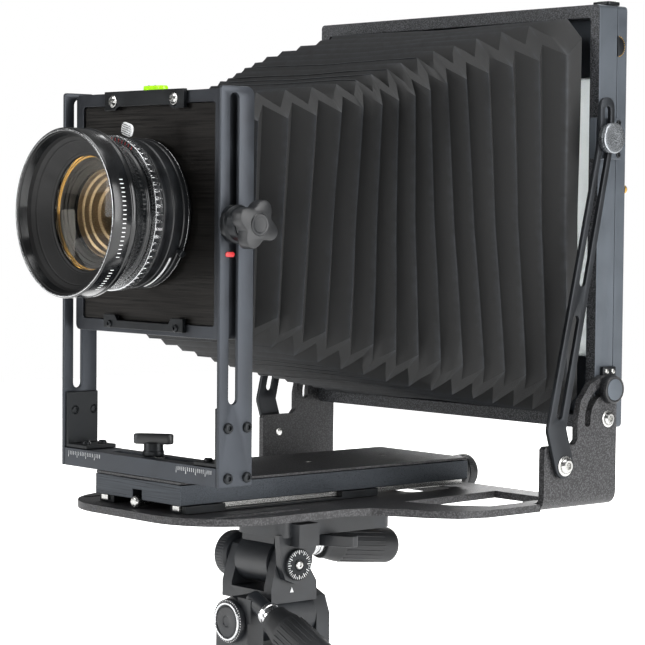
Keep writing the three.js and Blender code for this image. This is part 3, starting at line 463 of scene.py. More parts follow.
def eased(profile: Sequence[Point], radius: float) -> list[Point]:
    """Rounds the corners of a closed profile.

    Args:
        profile: corners as radius and distance along the axis.
        radius: the rounding, made smaller where an edge is short.

    Returns:
        The profile with three points in place of each corner off the axis.
    """
    out: list[Point] = []
    count = len(profile)
    for i, corner in enumerate(profile):
        here = Vector(corner)
        before, after = Vector(profile[i - 1]), Vector(profile[(i + 1) % count])
        if here.x < 1e-6:
            out.append(tuple(here))
            continue
        back, on = before - here, after - here
        reach = min(radius, back.length * 0.35, on.length * 0.35)
        start, end = here + back.normalized() * reach, here + on.normalized() * reach
        middle = (start + end) / 4 + here / 2
        out += [tuple(start), tuple(middle), tuple(end)]
    return out


def spun(name: str, profile: Sequence[Point], finish: Finish, place: Matrix, segments: int = 72,
         ease: float = 0.25) -> bpy.types.Object:
    """Turned piece: a closed profile swept round local Z.

    Args:
        name: the object's name.
        profile: corners as radius and distance along the axis, in millimetres.
        finish: its finish.
        place: the placing matrix.
        segments: facets round the axis.
        ease: rounding of its edges, in millimetres.

    Returns:
        The new object.
    """
    points = eased(profile, ease) if ease else list(profile)
    bm = bmesh.new()
    rings = []
    for r, d in points:
        if r < 1e-6:
            rings.append([bm.verts.new((0, 0, d))])
            continue
        angles = [2 * math.pi * i / segments for i in range(segments)]
        rings.append([bm.verts.new((r * math.cos(a), r * math.sin(a), d)) for a in angles])
    for lower, upper in zip(rings, rings[1:] + rings[:1]):
        if len(lower) == 1 and len(upper) == 1:
            continue
        for i in range(segments):
            j = (i + 1) % segments
            corners = [lower[i % len(lower)], lower[j % len(lower)], upper[j % len(upper)],
                       upper[i % len(upper)]]
            unique = list(dict.fromkeys(corners))
            bm.faces.new(unique)
    bm.transform(place)
    return from_bmesh(name, bm, finish)


def arc(centre: Point, radius: float, start: float, end: float, steps: int = 12) -> list[Point]:
    """Points along an arc. Args: centre, radius, start and end in degrees, steps. Returns: the points."""
    angles = [math.radians(start + (end - start) * i / steps) for i in range(steps + 1)]
    return [(centre[0] + radius * math.cos(a), centre[1] + radius * math.sin(a)) for a in angles]


def slot_outline(start: Point, end: Point, radius: float) -> list[Point]:
    """Outline of a round-ended slot. Args: its end centres and radius. Returns: the outline's points."""
    angle = math.degrees(math.atan2(end[1] - start[1], end[0] - start[0]))
    return arc(end, radius, angle - 90, angle + 90) + arc(start, radius, angle + 90, angle + 270)


def rounded_outline(width: float, height: float, radius: float, centre: Point = (0, 0)) -> list[Point]:
    """Rectangle with round corners. Args: its sizes and centre. Returns: the outline's points."""
    x, y = width / 2 - radius, height / 2 - radius
    corners = [((x, -y), -90), ((x, y), 0), ((-x, y), 90), ((-x, -y), 180)]
    out: list[Point] = []
    for (cx, cy), start in corners:
        out += arc((centre[0] + cx, centre[1] + cy), radius, start, start + 90, 6)
    return out


def cut_plate(name: str, loops: Sequence[Sequence[Point]], thick: float, finish: Finish, place: Matrix,
              bevel: float = 0.35) -> bpy.types.Object:
    """Flat plate cut to an outline with holes, its edges broken all round.

    Args:
        name: the object's name.
        loops: the outline first, then each hole, in local X and Y.
        thick: the plate's thickness, laid from local Z zero upwards.
        finish: its finish.
        place: the placing matrix.
        bevel: the size of its broken edges.

    Returns:
        The new object.
    """
    curve = bpy.data.curves.new(name, "CURVE")
    curve.dimensions = "2D"
    curve.fill_mode = "BOTH"
    curve.extrude = thick / 2 - bevel
    curve.bevel_depth = bevel
    curve.bevel_resolution = 1
    curve.offset = -bevel
    for loop in loops:
        spline = curve.splines.new("POLY")
        spline.points.add(len(loop) - 1)
        for point, (x, y) in zip(spline.points, loop):
            point.co = (x, y, 0, 1)
        spline.use_cyclic_u = True
    holder = new_object(name + "_outline", curve)
    graph = bpy.context.evaluated_depsgraph_get()
    mesh = bpy.data.meshes.new_from_object(holder.evaluated_get(graph), depsgraph=graph)
    drop(holder)
    bm = bmesh.new()
    bm.from_mesh(mesh)
    bmesh.ops.remove_doubles(bm, verts=bm.verts, dist=0.001)
    bmesh.ops.translate(bm, verts=bm.verts, vec=(0, 0, thick / 2))
    bm.transform(place)
    return from_bmesh(name, bm, finish)


def softened(name: str, node: str, finish: Finish, width: float = 0.35,
             segments: int = 2) -> bpy.types.Object:
    """Copy of a CAD node whose hard edges are broken, as machining and coating leave them.

    Args:
        name: the new object's name.
        node: the CAD node.
        finish: its finish.
        width: the size of the broken edge, in millimetres.
        segments: facets across it.

    Returns:
        The new object.
    """
    bm = bmesh.new()
    bm.from_mesh(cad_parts[node].data)
    bmesh.ops.remove_doubles(bm, verts=bm.verts, dist=2e-6)
    bmesh.ops.dissolve_limit(bm, angle_limit=math.radians(0.6), verts=bm.verts, edges=bm.edges)
    made = from_bmesh(name, bm, finish, outward=False)
    bevel = made.modifiers.new("edges", "BEVEL")
    bevel.width = width * MM
    bevel.segments = segments
    bevel.limit_method = "ANGLE"
    bevel.angle_limit = math.radians(32)
    bevel.use_clamp_overlap = True
    bevel.harden_normals = True
    return baked(made)


def united(name: str, objects: Sequence[bpy.types.Object]) -> bpy.types.Object:
    """Joins objects into one piece that keeps each one's finish.

    Args:
        name: the piece's name.
        objects: the objects, the first of which takes the others in.

    Returns:
        The joined object.
    """
    first = objects[0]
    with bpy.context.temp_override(active_object=first, selected_editable_objects=list(objects)):
        bpy.ops.object.join()
    first.name = name
    first.data.name = name
    return first


def mirrored(name: str, obj: bpy.types.Object) -> bpy.types.Object:
    """Copy of a piece on the other side of the camera's middle plane. Args: name, obj. Returns: the copy."""
    mesh = obj.data.copy()
    mesh.transform(Matrix.Scale(-1, 4, (1, 0, 0)))
    mesh.flip_normals()
    return new_object(name, mesh)


def place_piece(obj: bpy.types.Object, body: str,
                replaces: Iterable[str] = ()) -> bpy.types.Object:
    """Hands a finished piece to the frame.

    Args:
        obj: the piece.
        body: the body it rides on.
        replaces: the CAD nodes that it stands for.

    Returns:
        The piece.
    """
    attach(obj, body)
    nodes = list(replaces)
    if nodes:
        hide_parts(*nodes)
    log.info("%s rides on %s, %d faces", obj.name, body, len(obj.data.polygons))
    return obj


def dress(node: str, finish: Finish) -> None:
    """Gives a CAD node that stays in view its finish."""
    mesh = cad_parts[node].data
    mesh.materials.clear()
    mesh.materials.append(finish.material())


# ------------------------------------------------------------------ repeated shapes
class Layout(Enum):
    """How copies of a unit are set out."""

    CIRCLE = "circle"
    LINE = "line"


class Repeater:
    """Geometry Nodes trees that set out copies of a unit shape."""

    def __init__(self) -> None:
        """Builds one tree for each layout."""
        self.trees = {layout: self.build(layout) for layout in Layout}

    @staticmethod
    def build(layout: Layout) -> bpy.types.NodeTree:
        """Builds the tree for a layout. Args: layout. Returns: the tree."""
        tree = bpy.data.node_groups.new(f"repeat_on_{layout.value}", "GeometryNodeTree")
        sockets = [("Unit", "NodeSocketObject"), ("Count", "NodeSocketInt"), ("Radius", "NodeSocketFloat"),
                   ("Start", "NodeSocketFloat"), ("Sweep", "NodeSocketFloat"), ("Step", "NodeSocketVector"),
                   ("Finish", "NodeSocketMaterial")]
        for name, kind in sockets:
            tree.interface.new_socket(name, in_out="INPUT", socket_type=kind)
        tree.interface.new_socket("Geometry", in_out="OUTPUT", socket_type="NodeSocketGeometry")
        given = add_node(tree, "NodeGroupInput").outputs
        unit = add_node(tree, "GeometryNodeObjectInfo", {"Object": given["Unit"]},
                        transform_space="ORIGINAL")
        inputs: dict = {"Instance": unit.outputs["Geometry"]}
        if layout is Layout.CIRCLE:
            index = add_node(tree, "GeometryNodeInputIndex")
            share = add_node(tree, "ShaderNodeMath", {0: index.outputs[0], 1: given["Count"]},
                             operation="DIVIDE")
            angle = add_node(tree, "ShaderNodeMath", {
                0: share.outputs[0], 1: given["Sweep"], 2: given["Start"]}, operation="MULTIPLY_ADD")
            across = add_node(tree, "ShaderNodeMath", {0: angle.outputs[0]}, operation="COSINE")
            up = add_node(tree, "ShaderNodeMath", {0: angle.outputs[0]}, operation="SINE")
            unit_circle = add_node(tree, "ShaderNodeCombineXYZ",
                                   {"X": across.outputs[0], "Y": up.outputs[0]})
            spot = add_node(tree, "ShaderNodeVectorMath", {
                0: unit_circle.outputs[0], "Scale": given["Radius"]}, operation="SCALE")
            line = add_node(tree, "GeometryNodeMeshLine", {"Count": given["Count"]})
            points = add_node(tree, "GeometryNodeSetPosition", {
                "Geometry": line.outputs[0], "Position": spot.outputs[0]}).outputs[0]
            turn = add_node(tree, "ShaderNodeCombineXYZ", {"Z": angle.outputs[0]})
            inputs["Rotation"] = turn.outputs[0]
        else:
            points = add_node(tree, "GeometryNodeMeshLine", {
                "Count": given["Count"], "Offset": given["Step"]}).outputs[0]
        inputs["Points"] = points
        placed = add_node(tree, "GeometryNodeInstanceOnPoints", inputs)
        solid = add_node(tree, "GeometryNodeRealizeInstances", {"Geometry": placed.outputs[0]})
        dressed = add_node(tree, "GeometryNodeSetMaterial", {
            "Geometry": solid.outputs[0], "Material": given["Finish"]})
        add_node(tree, "NodeGroupOutput", {"Geometry": dressed.outputs[0]})
        return tree

    def run(self, name: str, layout: Layout, unit: bpy.types.Object, finish: Finish, place: Matrix,
            **values) -> bpy.types.Object:
        """Sets out copies of a unit and returns them as one plain mesh.

        Args:
            name: the new object's name.
            layout: the layout.
            unit: the shape to copy, in millimetres, which is removed.
            finish: the finish of every copy.
            place: the placing matrix.
            values: the tree's other inputs by name.

        Returns:
            The new object.
        """
        tree = self.trees[layout]
        holder = new_object(name, bpy.data.meshes.new(name))
        modifier = holder.modifiers.new("repeat", "NODES")
        modifier.node_group = tree
        given = {"Unit": unit, "Finish": finish.material(), **values}
        for item in tree.interface.items_tree:
            if item.name in given:
                modifier[item.identifier] = given[item.name]
        made = baked(holder)
        made.data.transform(place)
        drop(unit)
        return made

    def ring(self, name: str, unit: bpy.types.Object, count: int, radius: float, finish: Finish,
             place: Matrix,
             start: float = 0.0, sweep: float = 360.0) -> bpy.types.Object:
        """Copies on a circle. Args: as run, with start and sweep in degrees. Returns: the new object."""
        return self.run(name, Layout.CIRCLE, unit, finish, place, Count=count, Radius=radius,
                        Start=math.radians(start), Sweep=math.radians(sweep))

    def row(self, name: str, unit: bpy.types.Object, count: int, step: Sequence[float], finish: Finish,
            place: Matrix) -> bpy.types.Object:
        """Copies in a row. Args: as run, with the step between copies. Returns: the new object."""
        return self.run(name, Layout.LINE, unit, finish, place, Count=count, Step=tuple(step))


repeat = Repeater()
STAY = Matrix.Identity(4)


def bar_unit(size: Sequence[float], ease: float = 0.12) -> bpy.types.Object:
    """Small rib or tick to be repeated. Args: its size and its edges' width. Returns: it."""
    bm = bmesh.new()
    bmesh.ops.create_cube(bm, size=1)
    bmesh.ops.scale(bm, vec=size, verts=bm.verts)
    bmesh.ops.bevel(bm, geom=bm.edges[:], offset=min(ease, min(size) * 0.3), segments=1, affect="EDGES")
    return from_bmesh("unit", bm, SATIN_BLACK)


class Drive(Enum):
    """Recess in a screw's head."""

    HEX = 6
    SLOT = 2


def screw(name: str, at: Sequence[float], axis: str, radius: float, height: float, finish: Finish,
          drive: Drive = Drive.HEX, washer: float = 0.0) -> bpy.types.Object:
    """Screw head with its drive recess.

    Args:
        name: the object's name.
        at: centre of the face that it sits on, in millimetres.
        axis: the way that its head points.
        radius: the head's radius.
        height: the head's height.
        finish: its finish.
        drive: the recess.
        washer: radius of a washer under it, or zero.

    Returns:
        The new object.
    """
    sides = 24
    bm = bmesh.new()

    def loop(r: float, z: float, inner: bool = False) -> list[bmesh.types.BMVert]:
        """Ring of corners, pulled to the recess's shape where it is inner."""
        out = []
        for i in range(sides):
            a = 2 * math.pi * i / sides
            reach = r
            if inner and drive is Drive.HEX:
                reach = r * math.cos(math.pi / 6) / math.cos((a + math.pi / 6) % (math.pi / 3) - math.pi / 6)
            x, y = reach * math.cos(a), reach * math.sin(a)
            if inner and drive is Drive.SLOT:
                x, y = r * 1.5 * math.cos(a), r * 0.34 * math.sin(a)
            out.append(bm.verts.new((x, y, z)))
        return out

    recess = radius * 0.5
    rings = [loop(radius * 0.97, -0.3), loop(radius, 0), loop(radius, height * 0.35),
             loop(radius * 0.9, height * 0.75),
             loop(radius * 0.72, height), loop(recess, height, True),
             loop(recess * 0.92, height * 0.4, True)]
    for lower, upper in zip(rings, rings[1:]):
        for i in range(sides):
            j = (i + 1) % sides
            bm.faces.new((lower[i], lower[j], upper[j], upper[i]))
    bm.faces.new(rings[-1])
    bm.faces.new(list(reversed(rings[0])))
    bm.transform(axis_frame(axis, at))
    made = from_bmesh(name, bm, finish)
    if washer:
        disc = spun(name + "_washer", [(0, 0), (washer, 0), (washer, 0.7), (0, 0.7)], finish,
                    axis_frame(axis, at), 28)
        made = united(name, [made, disc])
    return made


def knurled(name: str, profile: Sequence[Point], grip: tuple[float, float, float], count: int,
            finish: Finish,
            place: Matrix, rib: float = 0.5) -> bpy.types.Object:
    """Turned knob with straight knurling round its rim.

    Args:
        name: the object's name.
        profile: the knob's profile.
        grip: the rim's radius, and where the knurling starts and ends.
        count: how many ribs.
        finish: its finish.
        place: the placing matrix.
        rib: how far each rib stands out.

    Returns:
        The knob.
    """
    radius, low, high = grip
    body = spun(name + "_turned", profile, finish, place, 64)
    width = 2 * math.pi * radius / count * 0.55
    unit = bar_unit((rib * 2, width, high - low), 0.2)
    ribs = repeat.ring(name + "_ribs", unit, count, radius - rib * 0.35, finish,
                       place @ Matrix.Translation((0, 0, (low + high) / 2)))
    return united(name, [body, ribs])


def extent(node: str) -> tuple[Vector, Vector]:
    """A CAD node's lowest and highest corner, in millimetres."""
    low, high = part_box(node)
    return low / MM, high / MM


def middle(node: str) -> Vector:
    """Centre of a CAD node's box, in millimetres."""
    low, high = extent(node)
    return (low + high) / 2


# ------------------------------------------------------------------ studio
@dataclass
class Studio:
    """Floor, light and camera, in millimetres."""

    eye: Sequence[float] = (1240.8, -1046.2, 329.5)
    target: Sequence[float] = (-121.79, 148.79, 239.91)
    roll: float = 0.52
    lens: float = 131.5
    paper: str = "#fbfbfa"

    def build(self) -> None:
        """Makes the floor, the lights, the world and the camera."""
        self.floor()
        self.lights()
        self.world()
        self.camera()

    def floor(self) -> None:
        """Makes a plain pale floor that is wide enough to fill every view."""
        bm = bmesh.new()
        bmesh.ops.create_grid(bm, x_segments=2, y_segments=2, size=2.4)
        mesh = bpy.data.meshes.new("floor")
        bm.to_mesh(mesh)
        bm.free()
        material = bpy.data.materials.new("studio_white_paper")
        material.use_nodes = True
        shader = material.node_tree.nodes["Principled BSDF"]
        shader.inputs["Base Color"].default_value = linear(self.paper)
        shader.inputs["Roughness"].default_value = 0.9
        shader.inputs["Emission Color"].default_value = (1, 1, 1, 1)
        shader.inputs["Emission Strength"].default_value = 0.8
        mesh.materials.append(material)
        new_object("floor", mesh)

    def lights(self) -> None:
        """Hangs soft boxes round the camera."""
        boxes = [
            ("side_box", (1900, 350, 700), (1.5, 1.7), 46),
            ("front_box", (-900, -1900, 900), (1.0, 1.3), 22),
            ("top_box", (100, -100, 2100), (1.5, 1.5), 30),
            ("low_strip", (1000, -1500, 120), (1.6, 0.3), 4),
            ("rear_strip", (-900, 1500, 900), (0.8, 1.4), 16),
        ]
        aim = Vector((0, 0, 280)) * MM
        for name, at, size, power in boxes:
            data = bpy.data.lights.new(name, "AREA")
            data.shape = "RECTANGLE"
            data.size, data.size_y = size
            data.energy = power
            made = bpy.data.objects.new(name, data)
            made.location = Vector(at) * MM
            made.rotation_mode = "QUATERNION"
            made.rotation_quaternion = (aim - made.location).to_track_quat("-Z", "Y")
            bpy.context.scene.collection.objects.link(made)

    def world(self) -> None:
        """Gives the camera a white surround and the object a dimmer, graded one."""
        world = bpy.data.worlds.new("studio")
        bpy.context.scene.world = world
        world.use_nodes = True
        tree = world.node_tree
        tree.nodes.clear()
        place = add_node(tree, "ShaderNodeTexCoord").outputs["Generated"]
        height = add_node(tree, "ShaderNodeSeparateXYZ", {0: place}).outputs["Z"]
        ramp = add_node(tree, "ShaderNodeMapRange", {
            "Value": height, "From Min": -0.2, "From Max": 0.9, "To Min": 0.05, "To Max": 0.2})
        soft = add_node(tree, "ShaderNodeBackground", {"Strength": ramp.outputs["Result"]})
        soft.inputs["Color"].default_value = (1, 1, 1, 1)
        white = add_node(tree, "ShaderNodeBackground", {"Strength": 1.0})
        white.inputs["Color"].default_value = (1, 1, 1, 1)
        seen = add_node(tree, "ShaderNodeLightPath").outputs["Is Camera Ray"]
        mixed = add_node(tree, "ShaderNodeMixShader", {0: seen, 1: soft.outputs[0], 2: white.outputs[0]})
        add_node(tree, "ShaderNodeOutputWorld", {"Surface": mixed.outputs[0]})
        bpy.context.scene.view_settings.view_transform = "Standard"

    def camera(self) -> None:
        """Sets the camera at the object's three-quarter view."""
        data = bpy.data.cameras.new("camera")
        data.lens = self.lens
        data.sensor_width = 36
        data.clip_end = 100
        made = bpy.data.objects.new("camera", data)
        bpy.context.scene.collection.objects.link(made)
        eye, target = Vector(self.eye) * MM, Vector(self.target) * MM
        made.location = eye
        made.rotation_mode = "QUATERNION"
        straight = (target - eye).to_track_quat("-Z", "Y")
        made.rotation_quaternion = straight @ Matrix.Rotation(math.radians(self.roll), 3,
            "Z").to_quaternion()
        bpy.context.scene.camera = made


# ------------------------------------------------------------------ lens and shutter
@dataclass
class Lens:
    """Lens and shutter on the board; distances run forwards from the board's front face."""

    axis_z: float = 323.6
    board_y: float = -111.0
    rim_r: float = 54.6
    reach: float = 68.0
    glass_r: float = 37.0
    shutter_r: float = 49.0
    ring_r: float = 50.4
    face: float = 25.0

    @property
    def place(self) -> Matrix:
        """Matrix that points local Z forwards along the lens axis."""
        return axis_frame("-y", (0, self.board_y, self.axis_z))

    def radial(self, angle: float, radius: float, forward: float) -> Matrix:
        """Matrix with local Z pointing out from the axis.

        Args:
            angle: degrees from the +X side, upwards.
            radius: distance from the axis, in millimetres.
            forward: distance in front of the board.

        Returns:
            The placing matrix.
        """
        a = math.radians(angle)
        out = Vector((math.cos(a), 0, math.sin(a)))
        centre = Vector((0, self.board_y - forward, self.axis_z)) + out * radius
        return aimed(out, centre)

    def build(self) -> None:
        """Makes every piece of the lens and shutter."""
        self.barrel()
        self.shutter()
        self.speed_ring()
        self.levers()
        self.rear()

    def barrel(self) -> None:
        """Makes the front barrel with its flared ring, and the glass in it."""
        r, reach, seat = self.rim_r, self.reach, self.reach - 20
        outer = [(27, 9), (29.3, 9), (29.3, 32.3), (46.5, 32.3), (46.5, 34.4), (46, 34.8), (46, 35.6),
                 (46.5, 36),
                 (46.5, 39.4), (48.2, 42.5), (52.8, 48.4), (r - 0.4, 49.6), (r, 50.4), (r, 52.6),
                 (r - 0.5, 53),
                 (r - 0.5, 53.8), (r, 54.2), (r, reach - 1), (r - 0.6, reach), (r - 2.2, reach)]
        thread: list[Point] = []
        for i in range(5):
            depth = reach - 1 - 1.1 * i
            thread += [(r - 2.5, depth), (r - 3.1, depth - 0.55)]
        inner = [(r - 3.3, reach - 6.6), (46.6, 57.6), (46.2, 56.7), (45.6, 56.4), (39.6, 50.8),
                 (39.2, 50.6),
                 (38.8, 49.9), (37.5, 49.4), (37.3, seat), (37.3, 41.7), (35, 41.7), (33, 40), (33, 38.6),
                 (31, 38),
                 (31, 36.6), (29, 36), (27, 34.3)]
        tube = spun("barrel_turned", outer + [(r - 2.4, reach - 0.6), (44, 47), (44, 33), (27, 33)],
                    BARREL_ENAMEL,
                    self.place, 144, 0.22)
        lining = spun("barrel_lining", [(28, 34.3), (28.5, 33.6), (43, 33.6), (43, 47),
                                        (r - 2.3, reach - 1.2)] + thread +
                      inner, INNER_BLACK, self.place, 144, 0.15)
        body = united("barrel_body", [tube, lining])
        ticks = []
        for start, sweep, count in ((-30, 56, 19), (-62, 24, 9)):
            ticks.append(repeat.ring("barrel_ticks", bar_unit((0.16, 0.5, 2.6), 0.05), count,
                                     self.rim_r + 0.02, WHITE_FILL,
                                     self.place @ Matrix.Translation((0, 0, 59.5)), start, sweep))
        rim_line = spun("barrel_rim_line", [(r - 1.9, reach - 0.05), (r - 0.8, reach - 0.05),
                                            (r - 0.8, reach + 0.06),
                                            (r - 1.9, reach + 0.06)], CHROME, self.place, 144, 0.03)
        ticks.append(rim_line)
        grips = repeat.ring("barrel_grip", bar_unit((0.7, 1.1, 2.6), 0.15), 96, self.rim_r - 8.2,
                            BARREL_ENAMEL,
                            self.place @ Matrix.Translation((0, 0, 37.7)))
        place_piece(united("front_barrel_turned", [body, grips, *ticks]), "lens_frame",
                    ["front_barrel"])
        self.element("front_element", "front_glass", self.glass_r, (41.9, seat + 0.6), (2, 3.6), FRONT_LENS)
        self.element("inner_element", None, 26.4, (13.5, 18.5), (1.5, 3.0), AMBER_LENS)
        cell = spun("inner_cell", [(26.6, 9.2), (28.8, 9.2), (28.8, 31.5), (26.4, 31.8), (26.2, 29),
                                   (24.6, 28.6), (24.4, 26),
                                   (23, 25.6), (22.8, 22.6), (21.6, 22.2), (21.4, 19.4), (26.6, 19)],
                    CHAMPAGNE, self.place,
                    96, 0.15)
        bezel = spun("front_cell", [(34, 40.6), (36.6, 40.6), (36.9, 41.6), (36.6, 41.8), (35.6, 41.8)],
                     BRASS, self.place,
                     120, 0.1)
        place_piece(united("inner_cells", [cell, bezel]), "lens_frame")

    def element(self, name: str, node: str | None, radius: float, faces: Point, bulges: Point,
                finish: Finish) -> None:
        """Makes one glass.

        Args:
            name: the piece's name.
            node: the CAD node it stands for, if any.
            radius: its edge radius.
            faces: where its rear and front faces meet the edge.
            bulges: how far each face bulges out.
            finish: its finish.
        """
        shares = [i / 10 for i in range(11)]
        rear = [(radius * s, faces[0] - bulges[0] * (1 - s * s)) for s in shares]
        front = [(radius * s, faces[1] + bulges[1] * (1 - s * s)) for s in reversed(shares)]
        glass = spun(name, rear + front, finish, self.place, 96, 0)
        place_piece(glass, "lens_frame", [node] if node else [])

    def shutter(self) -> None:
        """Makes the shutter's case with its scale and posts."""
        r, face = self.shutter_r, self.face
        case = spun("shutter_case", [
            (29.7, -12), (32.7, -12), (32.7, 0.3), (46, 0.3), (46, 3), (47.6, 3), (r, 4), (r, 8),
            (r - 0.5, 8.4),
            (r - 0.5, 9.2), (r, 9.6), (r, 16.2), (r - 0.5, 16.6), (r - 0.5, 21.4), (r, 21.8),
            (r, face - 0.8),
            (r - 0.8, face), (29.7, face)], SHUTTER_ENAMEL, self.place, 128, 0.2)
        scale = spun("case_edge_line", [(r - 0.3, 3.9), (r + 0.06, 4.2), (r + 0.06, 4.6), (r - 0.3, 4.9)],
                     CHROME,
                     self.place, 128, 0.05)
        fine = repeat.ring("shutter_fine_scale", bar_unit((0.3, 0.34, 1.5), 0.06), 80, r - 0.02, WHITE_FILL,
                           self.place @ Matrix.Translation((0, 0, 12.4)), -75, 40)
        posts = []
        for name, angle, size in (("release_socket", 152, (3.6, 7.5)), ("sync_post", 205, (3.0, 6))):
            radius, tall = size
            posts.append(spun(name, [(0, -1), (radius + 0.8, -1), (radius + 0.8, 1.4), (radius, 1.8),
                                     (radius, tall),
                                     (radius - 1.1, tall), (radius - 1.3, tall - 2.5), (0, tall - 2.5)],
                              CHROME,
                              self.radial(angle, r - 0.4, 13), 32))
        case = united("shutter_case", [case, scale, fine, *posts])
        place_piece(case, "lens_frame", ["shutter_body"])

    def speed_ring(self) -> None:
        """Makes the bright ring with a milled edge in front of the case."""
        r, low, high = self.ring_r, self.face + 0.3, self.face + 7
        ring = spun("speed_ring_turned", [
            (40, low), (r - 0.4, low), (r, low + 0.4), (r - 0.9, low + 0.8), (r - 0.9, high - 0.9),
            (r - 0.6, high - 0.7),
            (40, high - 0.6)], SHUTTER_ENAMEL, self.place, 128, 0.12)
        plate = spun("speed_ring_face", [(44, high - 0.7), (r - 0.3, high - 0.7), (r, high - 0.5),
                                         (r, high - 0.2),
                                         (r - 0.4, high), (44, high)], CHROME, self.place, 128, 0.1)
        teeth = repeat.ring("speed_ring_teeth", bar_unit((1.6, 2.1, 5.2), 0.18), 64, r - 0.9, CHROME,
                            self.place @ Matrix.Translation((0, 0, low + 3.2)))
        ring = united("speed_ring_body", [ring, plate])
        marks = repeat.ring("speed_ring_marks", bar_unit((2.2, 0.5, 0.2), 0.06), 9, r - 2.4, RED_FILL,
                            self.place @ Matrix.Translation((0, 0, high + 0.02)), 60, 40)
        place_piece(united("speed_ring_milled", [ring, teeth, marks]), "speed_ring",
                    ["speed_ring"])

    def levers(self) -> None:
        """Makes the shutter's two levers and the iris blades."""
        arm = cut_plate("cocking_arm", [rounded_outline(11.6, 8.4, 3.2, (0, 55.8))], 1.6, WHITE_FILL,
                        self.place @ Matrix.Translation((0, 0, self.face + 2.4)) @ Matrix.Rotation(
                            math.radians(-15), 4, "Z"), 0.5)
        pad = repeat.row("cocking_grip", bar_unit((9.4, 0.6, 0.8), 0.2), 5, (0, 1.4, 0), CHROME,
                         self.place @ Matrix.Rotation(math.radians(-15), 4, "Z") @ Matrix.Translation(
                             (0, 53, self.face + 4.1)))
        place_piece(united("cocking_tab", [arm, pad]), "cocking_lever", ["cocking_lever"])
        tip = self.radial(-28, self.shutter_r + 3.4, 9)
        knob = spun("aperture_tip", [(0, -2.8), (1.7, -2.8), (1.7, 0.6), (2.4, 1), (2.4, 2.6), (1.6, 3),
                                     (0, 3)],
                    SATIN_BLACK, tip, 28)
        outer, inner = arc((0, 0), 29.0, -24, 24, 8), arc((3, 8), 23, 18, -52, 8)
        blade = cut_plate("iris_blade", [outer + inner], 0.14, INNER_BLACK, STAY, 0.03)
        blades = repeat.ring("iris_blades", blade, 9, 0.0, INNER_BLACK,
                             self.place @ Matrix.Translation((0, 0, 5.9)))
        place_piece(united("iris_and_lever", [knob, blades]), "aperture",
                    ["aperture_lever", "iris_ring"])

    def rear(self) -> None:
        """Makes the rear barrel, its glass and the ring that holds the shutter on the board."""
        barrel = spun("rear_barrel_turned", [
            (22, 4), (29.3, 4), (29.3, -12.4), (35, -12.4), (35, -14), (34.4, -14.4), (34.4, -21),
            (35, -21.4),
            (35, -23), (29.3, -25), (27.3, -25), (27.3, -17), (22, -17)], BARREL_ENAMEL, self.place, 96,
                      0.25)
        ribs = repeat.ring("rear_barrel_grip", bar_unit((0.8, 1.0, 6), 0.15), 90, 34.5, BARREL_ENAMEL,
                           self.place @ Matrix.Translation((0, 0, -17.7)))
        place_piece(united("rear_barrel_turned", [barrel, ribs]), "lens_frame",
                    ["rear_barrel"])
        self.element("rear_element", "rear_glass", 27, (-22, -17.4), (2, 0.0), FRONT_LENS)
        ring = spun("board_nut", [(33.1, -3.3), (41, -3.3), (41, -6.5), (33.1, -6.5)], STEEL, self.place,
                    72, 0.3)
        notches = repeat.ring("board_nut_notches", bar_unit((3, 2.4, 3.4), 0.3), 12, 40.2, STEEL,
                              self.place @ Matrix.Translation((0, 0, -4.9)))
        place_piece(united("board_nut", [ring, notches]), "lens_frame", ["retaining_ring"])


